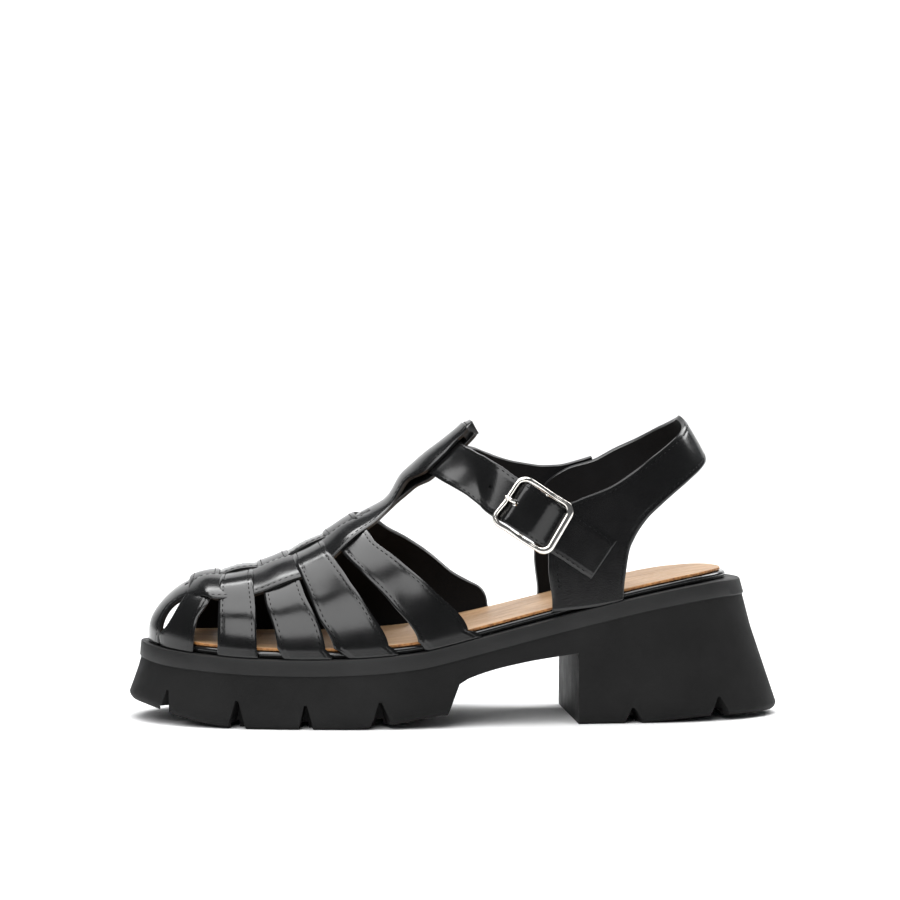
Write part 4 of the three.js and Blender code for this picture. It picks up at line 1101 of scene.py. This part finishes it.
# %% Round the heel
HEEL_AXIS = 0.844
HEEL_BASE = HEEL_HEIGHT + STACK
HEEL_REACH = 110
ANKLE_WIDTH, BUCKLE_TURN = 19.8, 215.5
ANKLE_TOP = 0.727
ANKLE = {
    "turn": [112, 122.5, 134.8, 142, 150.6, 160, 170, 180,
             187, 193, 203.6, 211.6, 218.3, 222.4, 233.4, 240.5],
    "high": [0.57, 0.538, 0.504, 0.5, 0.527, 0.597, 0.672, ANKLE_TOP,
             0.7, 0.656, 0.565, 0.451, 0.335, 0.272, 0.145, 0.084],
}
ANKLE["at"] = np.linspace(0, 1, len(ANKLE["turn"]))


def turned(turn, z):
    """The skin at a turn about the heel's axis, in degrees, and at a height."""
    axis = np.stack([np.full(len(z), place_at(HEEL_AXIS)), np.zeros(len(z)), z], axis=1)
    angle = np.radians(turn)
    return cast_from(axis, np.stack([np.cos(angle), np.sin(angle), np.zeros(len(z))], axis=1), HEEL_REACH)


steps = np.linspace(0, 1, 121)
ankle_turns = follow(ANKLE, "turn", steps, "at")
ankle_line = turned(ankle_turns, HEEL_BASE + SLING_HEIGHT * follow(ANKLE, "high", steps, "at"))
ankle_lengths = lengths_along(ankle_line)
ankle_total = ankle_lengths[-1]
buckle_at = ankle_lengths[np.argmax(ankle_turns >= BUCKLE_TURN)]
ankle_middle = HEEL_BASE + SLING_HEIGHT * ANKLE_TOP
print("ankle strap", round(ankle_total), "mm, buckle at", round(buckle_at))


def beside_ankle(length, offset, out):
    """The skin at a length along the ankle strap's middle line, offset across it and raised by out."""
    here = on_line(ankle_lengths, ankle_line, length)
    ahead = on_line(ankle_lengths, ankle_line, length + 1) - on_line(ankle_lengths, ankle_line, length - 1)
    normal = outward(here)
    across = unit(np.cross(normal, unit(ahead)))
    start = here + across * np.broadcast_to(offset, len(here))[:, None] - normal * CAST_RADIUS / 2
    return lifted(cast_from(start, normal, float(CAST_RADIUS)), out)


# %% [markdown]
# ### T-bar and its loop
# At its top the real T-bar is folded back, and the ankle strap runs through the fold. Here a front layer is
# lifted over the ankle strap, a back layer stays on the last, and a short ear closes the two above it. One
# folded strip would crease in the bend, and separate layers keep the opening clear.

# %% T-bar and its loop
LOOP_ROOM, EAR_LENGTH, BAR_RISE_LENGTH = 0.5, 8.5, 18
EAR_TAPER, EAR_PINCH = 0.35, 0.32
front_lift = STRAP_WALL + LOOP_ROOM + ANKLE_WALL + LOOP_ROOM
loop_low = ridge_length_at(ankle_middle - 0.4 * ANKLE_WIDTH) - 2 * STRAP_WALL
loop_high = ridge_length_at(ankle_middle + 0.4 * ANKLE_WIDTH) + GAP
bar_lift = [(loop_low - BAR_RISE_LENGTH, 0), (loop_low, front_lift)]
bar_end = loop_high + EAR_LENGTH / 2
back_start = loop_low - 0.85 * BAR_RISE_LENGTH
low, high = across_band(-1), across_band(1)
t_bar = band_skin(bar_start - HIDDEN_LAP, bar_end, low, high, lambda s: weave(bar_lift, s))
loop_back = band_skin(back_start, bar_end, low, high, lambda s: 0 * s)
straps.append(sewn_strap("t_bar", t_bar, 110, 34, STRAP_WALL, inset=2.0))
straps.append(finished(strap("loop_lining", loop_back, 50, 24, STRAP_WALL, inset=0), "black_leather"))
ear_wall = front_lift + STRAP_WALL


def ear_skin(u, v, out):
    """Both layers in one wall that tapers and thins towards its end."""
    length = loop_high + EAR_LENGTH * u
    offset = spread_at(length) * (2 * v - 1) * (1 - EAR_TAPER * u * u)
    pinch = EAR_PINCH * ear_wall * u * u
    return lifted(beside_ridge(length, offset), pinch + out * (ear_wall - 2 * pinch) / ear_wall)


def ear_row(t):
    """The row of stitches that closes the loop, square across the ear."""
    return np.full_like(t, 0.62), 0.08 + 0.84 * t


ear = strap("loop_ear", ear_skin, 18, 22, ear_wall, inset=0, rim=0.7)
sewn(ear, ear_skin, ear_wall, [ear_row], sink=0)
straps.append(finished(ear, "black_leather"))
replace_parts(straps[0], "upper_cage")
print(len(straps), "strips in the cage")

# %% [markdown]
# ### Quarters and sling
# One lined piece makes both quarters and the sling. Its front and rear edges are given by turn and height,
# from the outer ledge round the back to the inner ledge. Three pieces would show joints that the real one
# doesn't have.

# %% Quarters and sling
SLING = {
    "frontTurn": [-139, -139, -140, -140, -138, -131, -116, -101, -84, -60, -30, 0,
                  30, 60, 84, 101, 116, 132, 142, 144, 144, 143, 143],
    "frontHigh": [-0.4, -0.2, 0.04, 0.26, 0.41, 0.475, 0.556, 0.653, 0.762, 0.875, 0.955, 0.985,
                  0.965, 0.91, 0.825, 0.76, 0.69, 0.635, 0.5, 0.26, 0.04, -0.2, -0.4],
    "rearTurn": [-107, -107, -105.5, -103, -100, -97, -90, -80, -67, -48, -25, 0,
                 25, 48, 67, 80, 90, 97, 100, 103, 105.5, 107, 107],
    "rearHigh": [-0.4, -0.14, 0.01, 0.15, 0.215, 0.265, 0.35, 0.435, 0.525, 0.62, 0.69, 0.725,
                 0.69, 0.62, 0.525, 0.435, 0.35, 0.265, 0.215, 0.15, 0.01, -0.14, -0.4],
}
SLING["at"] = np.linspace(0, 1, len(SLING["rearTurn"]))
FOOT_SHARE = 0.035


def sling_skin(u, v, out):
    at = FOOT_SHARE + (1 - 2 * FOOT_SHARE) * u
    front = follow(SLING, "frontTurn", at, "at"), follow(SLING, "frontHigh", at, "at")
    rear = follow(SLING, "rearTurn", at, "at"), follow(SLING, "rearHigh", at, "at")
    turn = front[0] + (rear[0] - front[0]) * v
    free = HEEL_BASE + SLING_HEIGHT * (front[1] + (rear[1] - front[1]) * v)
    foot = turned(turn, free)
    z = np.maximum(free, ledge_height(foot[:, 0]) + GAP)
    return lifted(turned(turn, z), out)


quarter_sling = sewn_strap("quarter_and_sling", sling_skin, 240, 28, QUARTER_WALL, start=0.03, end=0.97)
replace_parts(quarter_sling, "quarter_sling")

# %% [markdown]
# ### Ankle strap
# The strap lies on both quarters, passes through the T-bar's loop, swells over the buckle's centre bar and
# ends square. It is laid along a line round the ankle. Its two holes are punched with cylinders, as they
# are in a real strap.

# %% Ankle strap
BUCKLE_LENGTH, FRAME_WIDTH, FRAME_REAR_WIDTH = 27, 2.2, 3.2
FRAME_THICKNESS, FRAME_CORNER, FRAME_CLEARANCE = 1.9, 5, 0.45
BAR_DIAMETER, PRONG_DIAMETER, PRONG_REACH = 1.8, 1.8, 3.4
PIN_HOLE, PIN_HOLE_PITCH = 2.7, 11
ANKLE_INSET = 1.4
OVER_QUARTER, IN_LOOP, BAR_RISE = QUARTER_WALL + GAP, STRAP_WALL + LOOP_ROOM, BAR_DIAMETER + GAP
frame_half_length = BUCKLE_LENGTH / 2 - FRAME_WIDTH / 2
frame_half_width = ANKLE_WIDTH / 2 + FRAME_CLEARANCE + FRAME_WIDTH / 2
prong_hole_at = buckle_at - frame_half_length + PRONG_REACH


def ankle_lift(length):
    """Height over the last: on the quarters, through the loop, and over the buckle's centre bar."""
    near = weave([(-0.44 * BUCKLE_LENGTH, 0), (-0.3 * BUCKLE_LENGTH, BAR_RISE),
                  (BAR_DIAMETER / 2, BAR_RISE), (0.36 * BUCKLE_LENGTH, 0)], length - buckle_at)
    base = weave([(0.2 * ankle_total, OVER_QUARTER), (0.34 * ankle_total, IN_LOOP),
                  (0.5 * ankle_total, IN_LOOP), (0.6 * ankle_total, OVER_QUARTER)], length)
    return base + near


def ankle_skin(u, v, out):
    length = ankle_total * u
    return beside_ankle(length, ANKLE_WIDTH * (v - 0.5), ankle_lift(length) + out)


def end_row(t):
    """The row of stitches along the strap's square end."""
    return np.full_like(t, 1 - ANKLE_INSET / ankle_total), 0.1 + 0.8 * t


def punched(piece, hole_at, low_out, radius):
    """A round hole through the strap's middle, from low_out over its lower face upwards."""
    length = np.array([hole_at])
    low = beside_ankle(length, 0, ankle_lift(length) + low_out)[0] * MM
    high = beside_ankle(length, 0, ankle_lift(length) + ANKLE_WALL + 1.2)[0] * MM
    deselect()
    bpy.ops.mesh.primitive_cylinder_add(vertices=24, radius=radius * MM, depth=np.linalg.norm(high - low))
    punch = bpy.context.object
    punch.rotation_euler = Vector(high - low).to_track_quat("Z", "Y").to_euler()
    punch.location = Vector((low + high) / 2)
    bpy.context.view_layer.update()
    cut_away(piece, punch)


ankle_strap = strap("ankle_strap_leather", ankle_skin, 220, 24, ANKLE_WALL, ANKLE_INSET)
punched(ankle_strap, prong_hole_at, -1, PIN_HOLE / 2)
# The spare hole is narrower and ends inside the strap
punched(ankle_strap, prong_hole_at - PIN_HOLE_PITCH, 0.7, 0.375 * PIN_HOLE)
ankle_rows = edge_rows(ankle_skin, ANKLE_INSET, start=0.01, end=0.985)
sewn(ankle_strap, ankle_skin, ANKLE_WALL, ankle_rows + [end_row])
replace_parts(finished(ankle_strap, "black_leather"), "ankle_strap")


# %% [markdown]
# ### Buckle frame
# The real frame is a steel bar, bowed over the strap and a little broader at its rear end. A curve with a
# bevel would give one round section all the way. A grid wrapped round the frame's middle line takes a
# squarer section and a width that changes. The centre bar is made the same way and joined to it.

# %% Buckle
end_lift = OVER_QUARTER + ANKLE_WALL + FRAME_CLEARANCE + FRAME_THICKNESS / 2
bar_lift_middle = OVER_QUARTER + BAR_DIAMETER / 2


def frame_lift(run):
    """The frame is lowest at its centre bar and bowed up to both ends."""
    share = np.minimum(np.abs(run) / frame_half_length, 1)
    return wave(bar_lift_middle + 0.3 * BAR_DIAMETER, end_lift, share)


def on_strap(run, offset, out):
    """A point over the last at a way from the buckle's middle, and the way out of the last there."""
    length = buckle_at + run
    foot = beside_ankle(length, offset, 0)
    return lifted(foot, out), outward(foot)


def tube(name, line, up, wide, thick, closed, around=20, power=2.4):
    """A bar of rounded-square section along a line of points, wrapped from a flat grid."""
    count = len(line)
    ahead, behind = np.roll(line, -1, axis=0), np.roll(line, 1, axis=0)
    if not closed:
        ahead[-1], behind[0] = line[-1], line[0]
    along = unit(ahead - behind)
    beside = unit(np.cross(along, up))
    over = unit(np.cross(beside, along))
    wide, thick = np.broadcast_to(wide, count), np.broadcast_to(thick, count)

    def wrap(u, v):
        k = np.rint(u * (count if closed else count - 1)).astype(int) % count
        angle = 2 * math.pi * v
        c, s = np.cos(angle), np.sin(angle)
        side = np.sign(c) * np.abs(c) ** (2 / power) * wide[k] / 2
        rise = np.sign(s) * np.abs(s) ** (2 / power) * thick[k] / 2
        return line[k] + beside[k] * side[:, None] + over[k] * rise[:, None]

    piece = cut_sheet(name, count if closed else count - 1, around, wrap)
    edit_all(piece, lambda: weld(0.000002), face_out)
    smooth(piece, 60)
    return piece


def rounded_rectangle(count):
    """Runs and offsets round the frame's middle line, evenly spaced."""
    corner = FRAME_CORNER - FRAME_WIDTH / 2
    path = []
    for x, y, start in ((1, 1, 0), (-1, 1, 90), (-1, -1, 180), (1, -1, 270)):
        for turn in np.radians(np.linspace(start, start + 90, 12)):
            path.append((x * (frame_half_length - corner) + corner * math.cos(turn),
                         y * (frame_half_width - corner) + corner * math.sin(turn)))
    path = np.array(path + path[:1])
    lengths = lengths_along(path)
    at = np.linspace(0, lengths[-1], count, endpoint=False)
    return np.interp(at, lengths, path[:, 0]), np.interp(at, lengths, path[:, 1])


runs, offsets = rounded_rectangle(144)
frame_line, frame_up = on_strap(runs, offsets, frame_lift(runs))
rear_share = np.clip(2.5 * (runs / frame_half_length - 0.6), 0, 1)
frame_widths = wave(FRAME_WIDTH, FRAME_REAR_WIDTH, rear_share)
buckle_frame = tube("buckle_frame_steel", frame_line, frame_up, frame_widths, FRAME_THICKNESS, True)
shares = np.linspace(-1, 1, 15)
bar_line, bar_up = on_strap(np.zeros(15), shares * frame_half_width, bar_lift_middle)
centre_bar = tube("buckle_bar", bar_line, bar_up, BAR_DIAMETER, BAR_DIAMETER, False, around=14, power=2)
select(buckle_frame, centre_bar)
bpy.ops.object.join()
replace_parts(finished(buckle_frame, "polished_steel", steel), "buckle_frame")

# %% [markdown]
# ### Prong
# The prong comes from under the strap, up through its hole, and rests on the frame's front end. Its line is
# a smooth curve through a few places, and its ends are rounded by thinning the section there.

# %% Prong
hole_run = prong_hole_at - buckle_at
radius = PRONG_DIAMETER / 2
under = bar_lift_middle - 0.1
over = end_lift + FRAME_THICKNESS / 2 + GAP + radius
PRONG = {
    "run": [-BAR_DIAMETER / 2 - GAP - radius, hole_run + 1.6, hole_run + 0.5, hole_run + 0.1,
            hole_run - 0.1, hole_run - 0.7, hole_run - 1.7, -frame_half_length - 1.2],
    "out": [under, under, under + 0.5, under + 1.5, over - 1.2, over - 0.3, over, over - 0.1],
}
PRONG["at"] = np.linspace(0, 1, len(PRONG["run"]))
t = np.linspace(0, 1, 41)
prong_line, prong_up = on_strap(follow(PRONG, "run", t, "at"), np.zeros(41), follow(PRONG, "out", t, "at"))
widths = PRONG_DIAMETER * np.sqrt(np.clip(np.minimum(t, 1 - t) / 0.05, 0.0001, 1))
prong = tube("buckle_prong_steel", prong_line, prong_up, widths, widths, False, around=16, power=2)
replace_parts(finished(prong, "polished_steel", steel), "buckle_prong")
